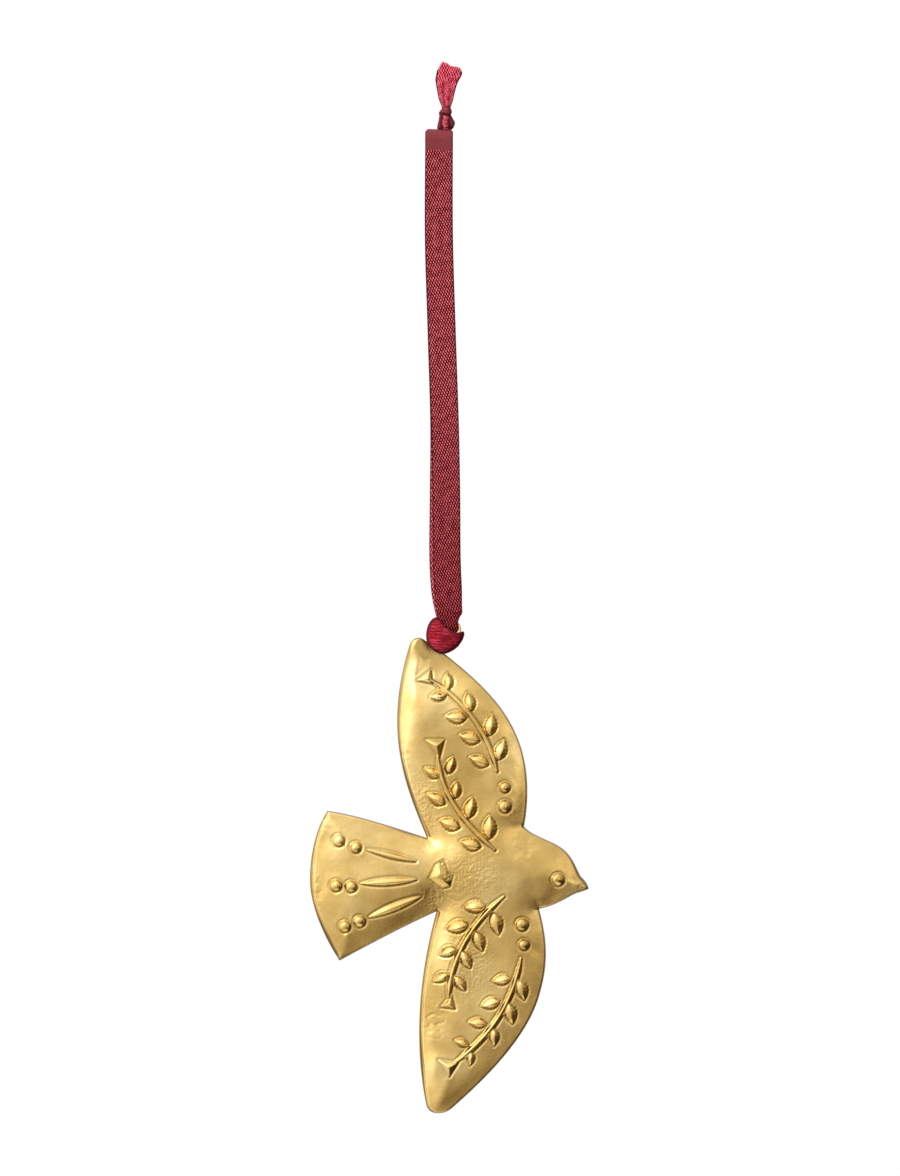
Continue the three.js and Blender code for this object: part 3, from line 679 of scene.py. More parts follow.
# The faceted lump at the tail's root
TAIL_LUMP = [
    (-2.4, -48.2), (-1.0, -45.4), (0.6, -44.3), (1.4, -46.4),
    (2.6, -47.5), (2.0, -50.0), (0.6, -50.4),
]
# The flat-bottomed dent by the first flower
DENT = [(-4.6, 1.4), (-2.1, 0.2), (-2.6, -2.0), (-3.5, -3.2), (-5.5, -4.6), (-5.8, -3.4), (-5.2, -0.7)]

# Worn areas, each as x, z, half width and half height
CRUMPLED = [
    (-1.6, -79.8, 2.6, 3.2), (17.8, -41.6, 2.6, 2.6), (-26.4, -36.0, 1.6, 2.0),
    (-8.0, -20.5, 1.0, 3.0), (2.6, -52.3, 2.4, 1.6), (31.2, -49.6, 1.8, 1.6), (-27.4, -52.0, 1.0, 4.0),
]
PITTED = [(6.5, -47.5, 6.5, 4.8), (7.0, -66.5, 4.5, 7.0), (-3.5, -33.0, 2.6, 6.5), (-1.2, -52.5, 2.4, 3.2)]
# Stretches of the rim that are turned away, where the rim's painted shade reaches further in
TURNED_AWAY_RIMS = [
    (-7.5, -31.0, 3.0, 9.0), (-23.5, -61.0, 5.0, 6.0), (-5.0, -87.0, 2.5, 6.0), (30.5, -47.5, 3.0, 4.0),
]
# Broad soft forms of the beaten sheet, each as x, z, radius and rise
BROAD_FORMS = [
    (-5.0, -2.0, 3.2, 0.3), (-5.6, -8.5, 3.6, 0.25), (-6.0, -14.5, 3.4, 0.35), (-5.6, -21.0, 3.0, 0.25),
    (-2.6, -84.2, 2.6, 0.25), (-2.0, -89.4, 3.0, 0.7), (-5.6, -34.0, 2.2, 0.22),
    (-14.0, -50.5, 8.0, 0.85), (-24.5, -39.5, 2.4, -0.25), (0.5, -52.0, 3.6, -0.35),
    (-1.0, -41.5, 2.4, 0.3), (-8.3, -30.0, 2.0, 0.2), (-26.0, -50.0, 1.6, -0.15),
    (4.0, -66.0, 6.0, 0.4), (14.0, -29.5, 6.5, 0.4), (20.5, -52.6, 3.6, 0.3), (17.5, -44.5, 3.0, 0.12),
    (29.5, -48.6, 0.9, -0.22), (1.0, -93.5, 3.0, 0.12), (-0.5, -96.8, 1.3, 0.18),
    (-2.5, -9.5, 3.5, 0.35), (6.0, -45.5, 6.0, 0.3),
]

# Pressed forms: heights above the sheet, widths, and how far a pyramid's sides reach in
LEAF_WIDTH = 0.52  # of the leaf's length
LEAF_TRIM = (0.06, 0.93)  # the part of the drawn length that is pressed
LEAF_HEIGHT = 1.2
LEAF_PEAK = 0.45  # the widest place, as a share of the way to the tip
SERRATION = 0.04
RIDGE_SHIFT = 0.28
LEAF_TEETH = 5.5
LEAST_HALF_WIDTH = 0.05
STEM_HALF_WIDTH = 0.6
STEM_HEIGHT = 0.85
STEM_TAPER = 0.12  # of the stem's length, at each end
FLOWER_HEIGHT = 1.1
FLOWER_REACH = 1.1
DOT_HEIGHT = 1.15
FLUTE_HEIGHT = 0.8
LUMP_HEIGHT = 0.9
LUMP_REACH = 1.5
DENT_DEPTH = 0.3
DENT_REACH = 1.6
# The groove pressed round each form, and the low lip beyond it, as depth or rise, place and width
GROOVE = (0.15, 0.2, 0.22)
LIP = (0.04, 0.72, 0.24)
LIT_GROOVE = 0.45  # depth of the groove on the form's lit side, as a share
# Wear, as the size of its folds and its depth
CRUMPLE = (2.4, 0.13)
PIT = (0.75, 0.1)
LEAST_WEAR = 0.08
FOLD_STRETCH = 1.5
FOLD_WIDTH = 0.3
FORM_REACH = 1.6  # a form shapes the sheet up to about this far from it
# Unevenness of the beaten sheet, as rises and widths of bumps, and its soft dents
UNEVEN = ((0.24, 11.0), (0.1, 4.0))
DENT_COUNT = 70
DENT_SPANS = ((-29, 32), (-100, 4), (1.2, 3.6), (-0.16, 0.1))  # of x, z, radius and rise
# What the random forms of each sheet and of the wear start from
FRONT_SEED = 3
BACK_SEED = 21
WEAR_SEED = 31

# Spacing of the mesh's points, and the depths of the rows of points that follow the outline
OUTLINE_STEP = 0.3
RIM_DEPTHS = (0.14, 0.28, 0.42, 0.56, 0.7, 0.86, 1.05, 1.3)
RIM_ERROR = 0.04  # a row's point is left out where its depth is further off than this
RIM_GAP = 0.12  # from the last of those rows to the fine points
FINE_STEP = 0.22
FINE_CLEAR = 0.16  # from the hole to the nearest points
HOLE_FRAME = (0.5, 1.5)  # points this far in from the edge and this near to the hole are all fine
COARSE_STEP = 0.75
COARSE_CLEAR = 1.7  # from the outline and the hole to the nearest coarse points
DETAIL_MARGIN = 0.3  # coarse points stay this far from where fine ones are wanted
ROW_SHARE = 0.866  # between the rows of a triangular grid
FIELD_STEP = 0.25
FIELD_MARGIN = 2


def lobe_outline(anchors, step):
    points = []
    for i, (start, first, second) in enumerate(anchors):
        end = anchors[(i + 1) % len(anchors)][0]
        rough = cubic(start, first, second, end, np.linspace(0, 1, 30))
        length = np.linalg.norm(np.diff(rough, axis=0), axis=1).sum()
        count = max(3, math.ceil(length / step))
        points.append(cubic(start, first, second, end, np.arange(count) / count))
    return np.concatenate(points)


LOBES = [lobe_outline(anchors, OUTLINE_STEP) for anchors in (UPPER_WING, LOWER_WING, TAIL, BODY)]
BIRD_LOW = np.min([outline.min(0) for outline in LOBES], axis=0)
BIRD_HIGH = np.max([outline.max(0) for outline in LOBES], axis=0)


def segment_distance(x, z, start, end):
    """Distance from each point to a straight stretch, and the share of the way along it."""
    (ax, az), (bx, bz) = start, end
    ex, ez = bx - ax, bz - az
    share = np.clip(((x - ax) * ex + (z - az) * ez) / (ex * ex + ez * ez), 0, 1)
    return np.hypot(x - ax - share * ex, z - az - share * ez), share


def in_outline(outline, x, z):
    inside = np.zeros(len(x), bool)
    for (ax, az), (bx, bz) in zip(outline, np.roll(outline, -1, axis=0)):
        if az != bz:
            inside ^= ((az > z) != (bz > z)) & (x < ax + (z - az) * (bx - ax) / (bz - az))
    return inside


def in_any(outlines, x, z):
    return np.any([in_outline(outline, x, z) for outline in outlines], axis=0)


def outer_edges():
    """The stretches of the lobes' outlines that no other lobe covers, as their starts and ends."""
    starts, ends = [], []
    for outline in LOBES:
        ahead = np.roll(outline, -1, axis=0)
        others = [other for other in LOBES if other is not outline]
        free = ~in_any(others, *((outline + ahead) / 2).T)
        starts.append(outline[free])
        ends.append(ahead[free])
    return np.concatenate(starts), np.concatenate(ends)


EDGE_STARTS, EDGE_ENDS = outer_edges()


def make_depth_field():
    """Distance to the bird's outer edge, positive inside, on a square grid over the drawing."""
    columns, rows = (
        np.arange(low - FIELD_MARGIN, high + FIELD_MARGIN, FIELD_STEP)
        for low, high in zip(BIRD_LOW, BIRD_HIGH)
    )
    grid_x, grid_z = np.meshgrid(columns, rows)
    x, z = grid_x.ravel(), grid_z.ravel()
    nearest = np.full(len(x), np.inf)
    for start, end in zip(EDGE_STARTS, EDGE_ENDS):
        nearest = np.minimum(nearest, segment_distance(x, z, start, end)[0])
    return np.where(in_any(LOBES, x, z), nearest, -nearest).reshape(grid_x.shape)


DEPTH_FIELD = make_depth_field()


def depth_in_bird(x, z):
    """The depth field between its grid points."""
    low = BIRD_LOW - FIELD_MARGIN
    column = np.clip((x - low[0]) / FIELD_STEP, 0, DEPTH_FIELD.shape[1] - 1.001)
    row = np.clip((z - low[1]) / FIELD_STEP, 0, DEPTH_FIELD.shape[0] - 1.001)
    i, j = column.astype(int), row.astype(int)
    u, v = column - i, row - j
    lower = mix(DEPTH_FIELD[j, i], DEPTH_FIELD[j, i + 1], u)
    upper = mix(DEPTH_FIELD[j + 1, i], DEPTH_FIELD[j + 1, i + 1], u)
    return mix(lower, upper, v)


def depth_from_hole(x, z):
    return np.hypot(x - HOLE[0], z - HOLE[1]) - HOLE_RADIUS


def bell(value, middle, width):
    return np.exp(-(((value - middle) / width) ** 2))


def contour(beyond, shaded):
    """The narrow groove round a raised form, deeper on its shaded side, and the low lip outside it."""
    depth, *groove = GROOVE
    rise, *lip = LIP
    shape = rise * bell(beyond, *lip) - depth * mix(LIT_GROOVE, 1.0, shaded) * bell(beyond, *groove)
    return np.where(beyond > 0, shape, 0)


def ridge(side):
    """Height of a form with a sharp middle ridge, from 1 at its middle to 0 at its edge."""
    side = np.minimum(side, 1.0)
    return 1 - 0.5 * side - 0.5 * side**3


def spindle(x, z, start, end, width, height, peak, serration=0.0):
    """A pointed long form with a ridge: its rise above the sheet, and the distance outside its edge.

    The ridge lies nearer to the lower right side, which is the steeper one."""
    run = np.subtract(end, start)
    length = float(np.hypot(*run))
    ux, uz = run / length
    dx, dz = x - start[0], z - start[1]
    share = (dx * ux + dz * uz) / length
    offset = dz * ux - dx * uz
    bent = np.clip(share, 0.0, 1.0) ** (math.log(0.5) / math.log(peak))
    half_width = np.maximum(width / 2 * np.sin(math.pi * bent) ** 0.7, LEAST_HALF_WIDTH)
    half_width *= 1 + serration * np.sin(share * 2 * math.pi * LEAF_TEETH)
    lean = -RIDGE_SHIFT * (run[0] + run[1]) / (length * math.sqrt(2))
    across = offset / half_width - lean
    side = np.where(across > 0, across / (1 - lean), -across / (1 + lean))
    past_end = np.maximum(np.maximum(-share, share - 1), 0) * length
    out = np.abs(offset) - half_width
    beyond = np.where(past_end > 0, np.hypot(np.maximum(out, 0), past_end), out)
    rise = height * ridge(side) * np.sin(math.pi * bent) ** 0.5
    return np.where(beyond < 0, rise, 0), beyond


def dome(x, z, centre_x, centre_z, radius):
    far = np.hypot(x - centre_x, z - centre_z)
    return DOT_HEIGHT * np.sqrt(np.clip(1 - (far / radius) ** 2, 0, 1)), far - radius


def line_distance(x, z, line):
    """Distance from each point to a line of straight stretches, and the share of the way along it."""
    nearest = np.full(len(x), np.inf)
    share_there = np.zeros(len(x))
    for i, (start, end) in enumerate(zip(line[:-1], line[1:])):
        far, share = segment_distance(x, z, start, end)
        closer = far < nearest
        nearest = np.where(closer, far, nearest)
        share_there = np.where(closer, (i + share) / (len(line) - 1), share_there)
    return nearest, share_there


def stem_rise(x, z, handles):
    """A round stem that thins out at both ends."""
    far, share = line_distance(x, z, cubic(*handles, np.linspace(0, 1, 26)))
    taper = smooth_step(0.0, STEM_TAPER, share) * smooth_step(0.0, STEM_TAPER, 1 - share)
    half_width = STEM_HALF_WIDTH * (0.85 + 0.25 * share) * (0.35 + 0.65 * taper)
    return STEM_HEIGHT * np.clip(1 - (far / half_width) ** 2, 0, 1) ** 0.7, far - half_width


def facets(x, z, corners, height, reach):
    """A many-sided pyramid: it rises from each side towards the middle, up to the given height."""
    corners = np.asarray(corners, float)
    following = np.roll(corners, -1, axis=0)
    if np.sum(corners[:, 0] * following[:, 1] - following[:, 0] * corners[:, 1]) < 0:
        corners = corners[::-1]
    from_side = np.full(len(x), np.inf)
    for (ax, az), (bx, bz) in zip(corners, np.roll(corners, -1, axis=0)):
        inward = ((bx - ax) * (z - az) - (bz - az) * (x - ax)) / math.hypot(bx - ax, bz - az)
        from_side = np.minimum(from_side, inward)
    outside, _ = line_distance(x, z, [*corners, corners[0]])
    return height * np.clip(from_side / reach, 0, 1) ** 0.9, np.where(from_side > 0, -from_side, outside)


def leaf(x, z, root, tip):
    root, tip = np.array(root), np.array(tip)
    start, end = (mix(root, tip, share) for share in LEAF_TRIM)
    width = LEAF_WIDTH * math.hypot(*(tip - root))
    return spindle(x, z, start, end, width, LEAF_HEIGHT, LEAF_PEAK, SERRATION)


def relief(x, z):
    """Rise of the pressed forms above the sheet, and the distance from the nearest form's edge."""
    rise = np.zeros(len(x))
    nearest = np.full(len(x), 9.0)

    def add(form, values, centre, radius):
        near = np.hypot(x - centre[0], z - centre[1]) < radius
        if near.any():
            lift, beyond = form(x[near], z[near], *values)
            rise[near] = np.maximum(rise[near], lift)
            nearest[near] = np.minimum(nearest[near], beyond)

    for sprig in SPRIGS:
        add(stem_rise, [sprig["stem"]], sprig["stem"][1], 26)
        flower = sprig["flower"]
        add(facets, [flower, FLOWER_HEIGHT, FLOWER_REACH], np.mean(flower, axis=0), 6)
        for root, tip in sprig["leaves"]:
            add(leaf, [root, tip], np.mean([root, tip], axis=0), math.dist(root, tip) / 2 + FORM_REACH)
    for cx, cz, radius in DOTS:
        add(dome, [cx, cz, radius], (cx, cz), radius + FORM_REACH)
    for start, end, width in FLUTES:
        add(spindle, [start, end, width, FLUTE_HEIGHT, 0.5], np.mean([start, end], axis=0), 9)
    add(facets, [TAIL_LUMP, LUMP_HEIGHT, LUMP_REACH], np.mean(TAIL_LUMP, axis=0), 6)
    return rise, nearest


def area_weight(x, z, areas):
    """One in the middle of each oval area, falling off softly round it."""
    weights = [np.exp(-(((x - cx) / wide) ** 2) - ((z - cz) / high) ** 2) for cx, cz, wide, high in areas]
    return np.max(weights, axis=0)


def creases(x, z):
    """Depth of the crumples, of the pits and of the flat-bottomed dent by the first flower."""
    sunk = np.zeros(len(x))
    for areas, (size, depth) in ((CRUMPLED, CRUMPLE), (PITTED, PIT)):
        for area in areas:
            weight = area_weight(x, z, [area])
            near = weight > LEAST_WEAR
            folds = np.abs(soft_noise(x[near], FOLD_STRETCH * z[near], size, WEAR_SEED))
            sunk[near] -= depth * weight[near] * smooth_step(FOLD_WIDTH, 0.0, folds)
    return sunk - facets(x, z, DENT, DENT_DEPTH, DENT_REACH)[0]


def soft_noise(x, z, size, seed):
    """Smooth unevenness from about -1 to 1, with bumps about as wide as the given size."""
    return np.array([noise.noise(Vector((a / size, b / size, seed))) for a, b in zip(x, z)])


def random_dents(seed):
    """Soft round dents all over the bird, as x, z, radius and rise."""
    rolls = random.Random(seed)
    return [tuple(rolls.uniform(*span) for span in DENT_SPANS) for _ in range(DENT_COUNT)]


def unevenness(x, z, seed):
    """Broad and soft forms of the beaten sheet."""
    bumps = [height * soft_noise(x, z, size, seed + i) for i, (height, size) in enumerate(UNEVEN)]
    rise = np.sum(bumps, axis=0)
    for dent_x, dent_z, radius, height in (*random_dents(seed), *BROAD_FORMS):
        near = np.hypot(x - dent_x, z - dent_z) < 3 * radius
        squared = ((x[near] - dent_x) ** 2 + (z[near] - dent_z) ** 2) / radius**2
        rise[near] += height * np.exp(-squared)
    return rise


def plain_height(x, z, seed):
    """Height of a sheet's outer face above the seam plane, without pressed forms, and its depth inside.

    The face rises as a wall from a flange, which is narrow and on the left sides only, and on in a puff.
    Near the hole the puff and the wall give way, and at the upper wing's left the wall slopes."""
    edge = depth_in_bird(x, z)
    from_hole = depth_from_hole(x, z)
    inner = np.minimum(edge, from_hole)
    left = smooth_step(*LEFT_EDGE, depth_in_bird(x + 0.5, z) - depth_in_bird(x - 0.5, z))
    flange = FLANGE * left * (1 + FLANGE_WANDER * soft_noise(x, z, FLANGE_WAVE, seed + 5))
    full = smooth_step(*HOLE_FADE, from_hole)
    sloped = left * smooth_step(*SLOPE_FOOT, z) * smooth_step(*SLOPE_TOP, z)
    wall_height = WALL_HEIGHT * mix(full, 1.0, 0.5 * smooth_step(*LEFT_WALL, x))
    wall = wall_height * smooth_step(0.0, mix(STEEP_WALL, SLOPED_WALL, sloped), edge - flange)
    rise = np.clip((inner - mix(*SEAM, full) - flange) / PUFF_REACH, 0, 1)
    swell = BODY_SWELL * area_weight(x, z, [SWELL_AREA])
    puff = wall + full * (PUFF_DEPTH - WALL_HEIGHT + swell) * np.sin(rise * math.pi / 2)
    give = smooth_step(0.0, GIVE_START, rise) * mix(GIVE_AT_HOLE, 1.0, full)
    rounded = np.sqrt(1 - (1 - np.clip(inner / RIM_ROUND, 0, 1)) ** 2)
    return mix(RIM_HEIGHT, SHEET, rounded) + np.maximum(puff + unevenness(x, z, seed) * give, 0), inner


def rim_rows():
    """Points in rows that follow the bird's outline at the rim's depths."""
    ahead = EDGE_ENDS - EDGE_STARTS
    ahead /= np.linalg.norm(ahead, axis=1)[:, None]
    inward = np.stack([ahead[:, 1], -ahead[:, 0]], axis=1)
    rows = []
    for depth in RIM_DEPTHS:
        row = (EDGE_STARTS + EDGE_ENDS) / 2 + inward * depth
        on_row = np.abs(depth_in_bird(*row.T) - depth) < RIM_ERROR
        rows.append(row[on_row & (depth_from_hole(*row.T) > FINE_CLEAR)])
    return np.concatenate(rows)


def grid_points(step, clear):
    """A grid of triangles over the bird, kept clear of its outline and its hole."""
    rows = np.arange(BIRD_LOW[1], BIRD_HIGH[1], step * ROW_SHARE)
    columns = np.arange(BIRD_LOW[0], BIRD_HIGH[0], step)
    x, z = np.meshgrid(columns, rows)
    x = x + (np.arange(len(rows)) % 2)[:, None] * step / 2
    x, z = x.ravel(), z.ravel()
    kept = np.minimum(depth_in_bird(x, z), depth_from_hole(x, z)) > clear
    return x[kept], z[kept]


def sheet_points(detail_of):
    """Points for a sheet's mesh: rows along the rim, fine where detail_of says so, and coarse elsewhere."""
    x, z = grid_points(FINE_STEP, FINE_CLEAR)
    edge = depth_in_bird(x, z)
    by_hole = (edge > HOLE_FRAME[0]) & (depth_from_hole(x, z) < HOLE_FRAME[1])
    wanted = ((edge > RIM_DEPTHS[-1] + RIM_GAP) & detail_of(x, z)) | by_hole
    fine = np.stack([x[wanted], z[wanted]], axis=1)
    x, z = grid_points(COARSE_STEP, COARSE_CLEAR)
    spare = np.ones(len(x), bool)
    for dx, dz in ((0, 0), (1, 0), (-1, 0), (0, 1), (0, -1)):
        spare &= ~detail_of(x + dx * DETAIL_MARGIN, z + dz * DETAIL_MARGIN)
    coarse = np.stack([x[spare], z[spare]], axis=1)
    return np.concatenate([rim_rows(), fine, coarse])


def triangulate(inner_points):
    """Flat mesh of the bird: the four lobes as one, the hole left open, and the given points inside."""
    _, cos, sin = full_circle(32)
    hole = np.array(HOLE) + HOLE_RADIUS * np.stack([cos, sin], axis=1)
    faces, start = [], 0
    for outline in LOBES:
        faces.append(list(range(start, start + len(outline))))
        start += len(outline)
    edges = [(start + i, start + (i + 1) % len(hole)) for i in range(len(hole))]
    points = np.concatenate([*LOBES, hole, inner_points])
    made = delaunay_2d_cdt([Vector(p) for p in points], edges, faces, 1, 1e-5, False)
    places = np.array([tuple(v) for v in made[0]])
    triangles = np.array(made[2])
    middle_x, middle_z = places[triangles].mean(axis=1).T
    in_hole = depth_from_hole(middle_x, middle_z) < -0.01 * HOLE_RADIUS
    triangles = triangles[~in_hole & in_any(LOBES, middle_x, middle_z)]
    used, triangles = np.unique(triangles, return_inverse=True)
    return places[used], triangles.reshape(-1, 3)


DARKEST = 0.9  # painted shade value of the ribbon's deepest folds


def with_painted_shade(piece, shade):
    """Give a piece its painted shade attribute, with one value per point."""
    values = np.asarray(shade, np.float32).ravel()
    piece.data.attributes.new("painted_shade", "FLOAT", "POINT").data.foreach_set("value", values)
    return piece


def sheet_piece(name, side, mesh, height, painted_shade, material):
    """A closed sheet: its outer face, the hollow face behind it, and the rim between them.

    side is -1 for the front and 1 for the back."""
    flat, triangles = mesh
    count = len(flat)
    x, z = flat[:, 0] + BIRD_X, flat[:, 1] + BIRD_Z
    hollow = np.maximum(height - SHEET, LEAST_HOLLOW)
    points = np.concatenate([np.stack([x, side * high, z], axis=1) for high in (height, hollow)])
    a, b, c = triangles.T
    area = np.cross(flat[b] - flat[a], flat[c] - flat[a])
    # Seen from the front, a face whose corners run anticlockwise faces the viewer
    flipped = (area < 0) == (side < 0)
    outer = np.where(flipped[:, None], triangles[:, ::-1], triangles)
    edges = np.concatenate([outer[:, [0, 1]], outer[:, [1, 2]], outer[:, [2, 0]]])
    seen = {tuple(edge) for edge in edges.tolist()}
    walls = [(j, i, i + count, j + count) for i, j in seen if (j, i) not in seen]
    faces = outer.tolist() + (outer[:, ::-1] + count).tolist() + walls
    return with_painted_shade(new_piece(name, points, faces, material), [*painted_shade, *[HOLLOW_SHADE] * count])


LEAST_HOLLOW = 0.01  # of a sheet's hollow face above the seam plane
HOLLOW_SHADE = 0.6  # painted shade value of that face
FORM_EDGE = (0.04, 0.24)  # place and width of the painted shade line round a form
FORM_SHADES = (0.3, 0.9)  # of that line on the lit side and on the shaded side
SHADE_REACH = 0.12  # how far apart two points feel for a form's shaded side
LEAST_HEIGHT = 0.12  # of the front's outer face above the seam plane
SHADED_SIDE = (-0.05, 0.28)  # growth of the distance to a form there, from its lit to its shaded side
FORM_FADE = (0.1, 0.9)  # depths between which the pressed forms fade out towards the rim
FORM_MARGIN = 0.9  # the mesh is fine this far round a form
WORN_WEIGHT = 0.12  # and where an area's wear is more than this
# Depths where the rim's painted shade starts to fade and where it ends, and how much deeper where the rim
# is turned away
DARK_RIM = ((0.1, 0.2), (0.4, 0.7))
FRONT_RIM_SHADE = 0.85
BACK_RIM_SHADE = 0.8


# Painted shade along the rim, reaching further in where the rim is turned away
def rim_shade(inner, shade, turned_away=0.0):
    start, end = (depth + more * turned_away for depth, more in DARK_RIM)
    return shade * (1 - smooth_step(start, end, inner))


def needs_fine_mesh(x, z):
    worn = area_weight(x, z, [*CRUMPLED, *PITTED]) > WORN_WEIGHT
    dented = facets(x, z, DENT, DENT_DEPTH, DENT_REACH)[0] > 0
    return (relief(x, z)[1] < FORM_MARGIN) | worn | dented


def bird_front(material):
    flat, triangles = triangulate(sheet_points(needs_fine_mesh))
    x, z = flat.T
    height, inner = plain_height(x, z, FRONT_SEED)
    pressed, beyond = relief(x, z)
    # Away from the light, the distance to a form grows towards the lower right
    _, lower_right = relief(x + SHADE_REACH, z - SHADE_REACH)
    _, upper_left = relief(x - SHADE_REACH, z + SHADE_REACH)
    shaded = smooth_step(*SHADED_SIDE, lower_right - upper_left)
    raised = (pressed + contour(beyond, shaded) + creases(x, z)) * smooth_step(*FORM_FADE, inner)
    height = np.maximum(height + raised, LEAST_HEIGHT)
    # Painted shade: a dark line round each form, darker on its shaded side, and a dark rim
    form_edge = bell(beyond, *FORM_EDGE) * mix(*FORM_SHADES, shaded)
    rim = rim_shade(inner, FRONT_RIM_SHADE, area_weight(x, z, TURNED_AWAY_RIMS))
    painted_shade = np.clip(np.maximum(form_edge, rim), 0, 1)
    return sheet_piece("bird_front", -1, (flat, triangles), height, painted_shade, material)


def bird_back(material):
    flat, triangles = triangulate(sheet_points(lambda x, z: np.zeros(len(x), bool)))
    height, inner = plain_height(*flat.T, BACK_SEED)
    painted_shade = rim_shade(inner, BACK_RIM_SHADE)
    return sheet_piece("bird_back", 1, (flat, triangles), height, painted_shade, material)


def jump_ring(material):
    """A wire ring, left open at its top by a narrow split, with painted shade where it turns from the
    front.
    """
    normal = np.cross(RING_UP, RING_ACROSS)
    _, cos, sin = full_circle(WIRE_SIDES)
    start = math.pi / 2 + RING_SPLIT / 2
    rings, shade = [], []
    for angle in start + (2 * math.pi - RING_SPLIT) * np.arange(RING_STEPS + 1) / RING_STEPS:
        out = math.cos(angle) * RING_UP + math.sin(angle) * RING_ACROSS
        radius = RING_WIRE / 2 * (END_TAPER if len(rings) in (0, RING_STEPS) else 1.0)
        around = cos[:, None] * out + sin[:, None] * normal
        rings.append(RING_CENTRE + RING_RADIUS * out + radius * around)
        shade.append(WIRE_SHADE * (1 - smooth_step(*WIRE_TURNED, np.abs(around[:, 1]))))
    return with_painted_shade(closed_loft("ring_wire", rings, material), shade)


# The hitch: the gathered strands, and the band across them

BAND_THICKNESS = 0.6
BAND_MARGIN = 1.5  # the band reaches this far past the ring
BAND_SWING_ROOM = 1.9
BAND_STANDOFF = 2.6
BAND_LEAN = 1.35
BAND_SHIFT = (-0.55, -0.2)
BULGE_AT_RING = 0.75
BAND_RADIUS = RING_RADIUS * math.cos(RING_TURN) + RING_WIRE / 2 + BAND_MARGIN
BAND_CENTRE = (RING_CENTRE[0] + BAND_SHIFT[0], RING_CENTRE[2] + BAND_SHIFT[1])
BAND_DOME = (
    RING_RADIUS * math.sin(RING_TURN) + RING_WIRE / 2 + BAND_SWING_ROOM - BAND_STANDOFF
) / BULGE_AT_RING
# The band's outline in the photograph: round its lower side, then back along its slanted upper edge
BAND_PIXELS = [
    (435.3, 617.2), (431.8, 619.4), (428.6, 624.0), (426.8, 629.5), (426.1, 635.5), (427.0, 642.0),
    (430.0, 647.0), (434.5, 651.0), (440.0, 653.7), (446.0, 653.4), (452.5, 650.6), (457.8, 646.6),
    (461.8, 641.2), (463.7, 637.0), (464.4, 633.6), (463.3, 631.2), (461.4, 633.2), (453.8, 631.2),
    (447.0, 627.0), (441.5, 621.9), (438.2, 618.2),
]
BAND_ROUND_SHARE = 15 / 21
BAND_STEPS = 96
# Threads across the band: their height, and the spacing of a coarse and of a fine set
THREAD_HEIGHT = 0.045
THREAD_SPACING = (0.8, 0.52)
# Shares of the way from the band's middle to its edge where its outer and inner faces have points
OUTER_SHARES = [0.02, 0.1, 0.2, 0.3, 0.4, 0.5, 0.6, 0.69, 0.77, 0.84, 0.9, 0.945, 0.975, 0.992, 1.0]
INNER_SHARES = [0.98, 0.9, 0.75, 0.5, 0.25, 0.02]
# The rolled rim, as how far it goes back and in
CURL = [(0.1, 0.0), (0.45, 0.12), (0.6, 0.5)]
# Shares of that: along the straight side, and where the edge stands forward no more than the first depth
STRAIGHT_ROLL = 0.4
NEAR_ROLL = 0.3
ROLL_DEPTHS = (1.3, 2.4)
# Painted shade on the band, as where it starts, where it is full, and its shade
PAINTED_SHADE_MIDDLE = (-2.8, 0.5, 0.35)
PAINTED_SHADE_RIGHT = (1.0, 4.0, 0.3)
PAINTED_SHADE_FOOT = (-1.8, -4.0, 0.2)
PAINTED_SHADE_EDGE = (0.8, 0.94, 0.9)


def band_outline():
    """Points round the band as x and z from its centre, and which of them are on its round side."""
    looped = [*BAND_PIXELS, BAND_PIXELS[0]]
    rows = [(i / (len(looped) - 1), *at_pixel(*pixel)) for i, pixel in enumerate(looped)]
    shares = np.arange(BAND_STEPS) / BAND_STEPS
    return through(rows, shares) - BAND_CENTRE, shares < BAND_ROUND_SHARE


def edge_depth(x, z):
    """How far the band's edge stands forward, with its upper left edge nearer to the bird."""
    return BAND_STANDOFF - BAND_LEAN * (z - x) / (BAND_RADIUS * math.sqrt(2))


def thread_height(x, z, share):
    """Height of the band's threads, which fade towards its edge and its top."""
    coarse, fine = (2 * math.pi / spacing for spacing in THREAD_SPACING)
    wander = 0.35 * np.sin(0.9 * x + 0.6)
    threads = np.sin((z + wander) * coarse) + 0.5 * np.sin((z - 0.3 * x) * fine)
    return THREAD_HEIGHT * threads * (1 - share**5) * (1 - smooth_step(-2.0, 3.4, z) * 0.4)


def painted_shade_ramp(value, start, full, shade):
    return shade * smooth_step(start, full, value)


def band_shade(x, z, share):
    """Painted shade: the right side, the foot and the edge are darker than the left side."""
    shade = painted_shade_ramp(x, *PAINTED_SHADE_MIDDLE) + painted_shade_ramp(x, *PAINTED_SHADE_RIGHT)
    shade += painted_shade_ramp(z, *PAINTED_SHADE_FOOT) + painted_shade_ramp(share, *PAINTED_SHADE_EDGE)
    return np.clip(shade, 0, DARKEST)


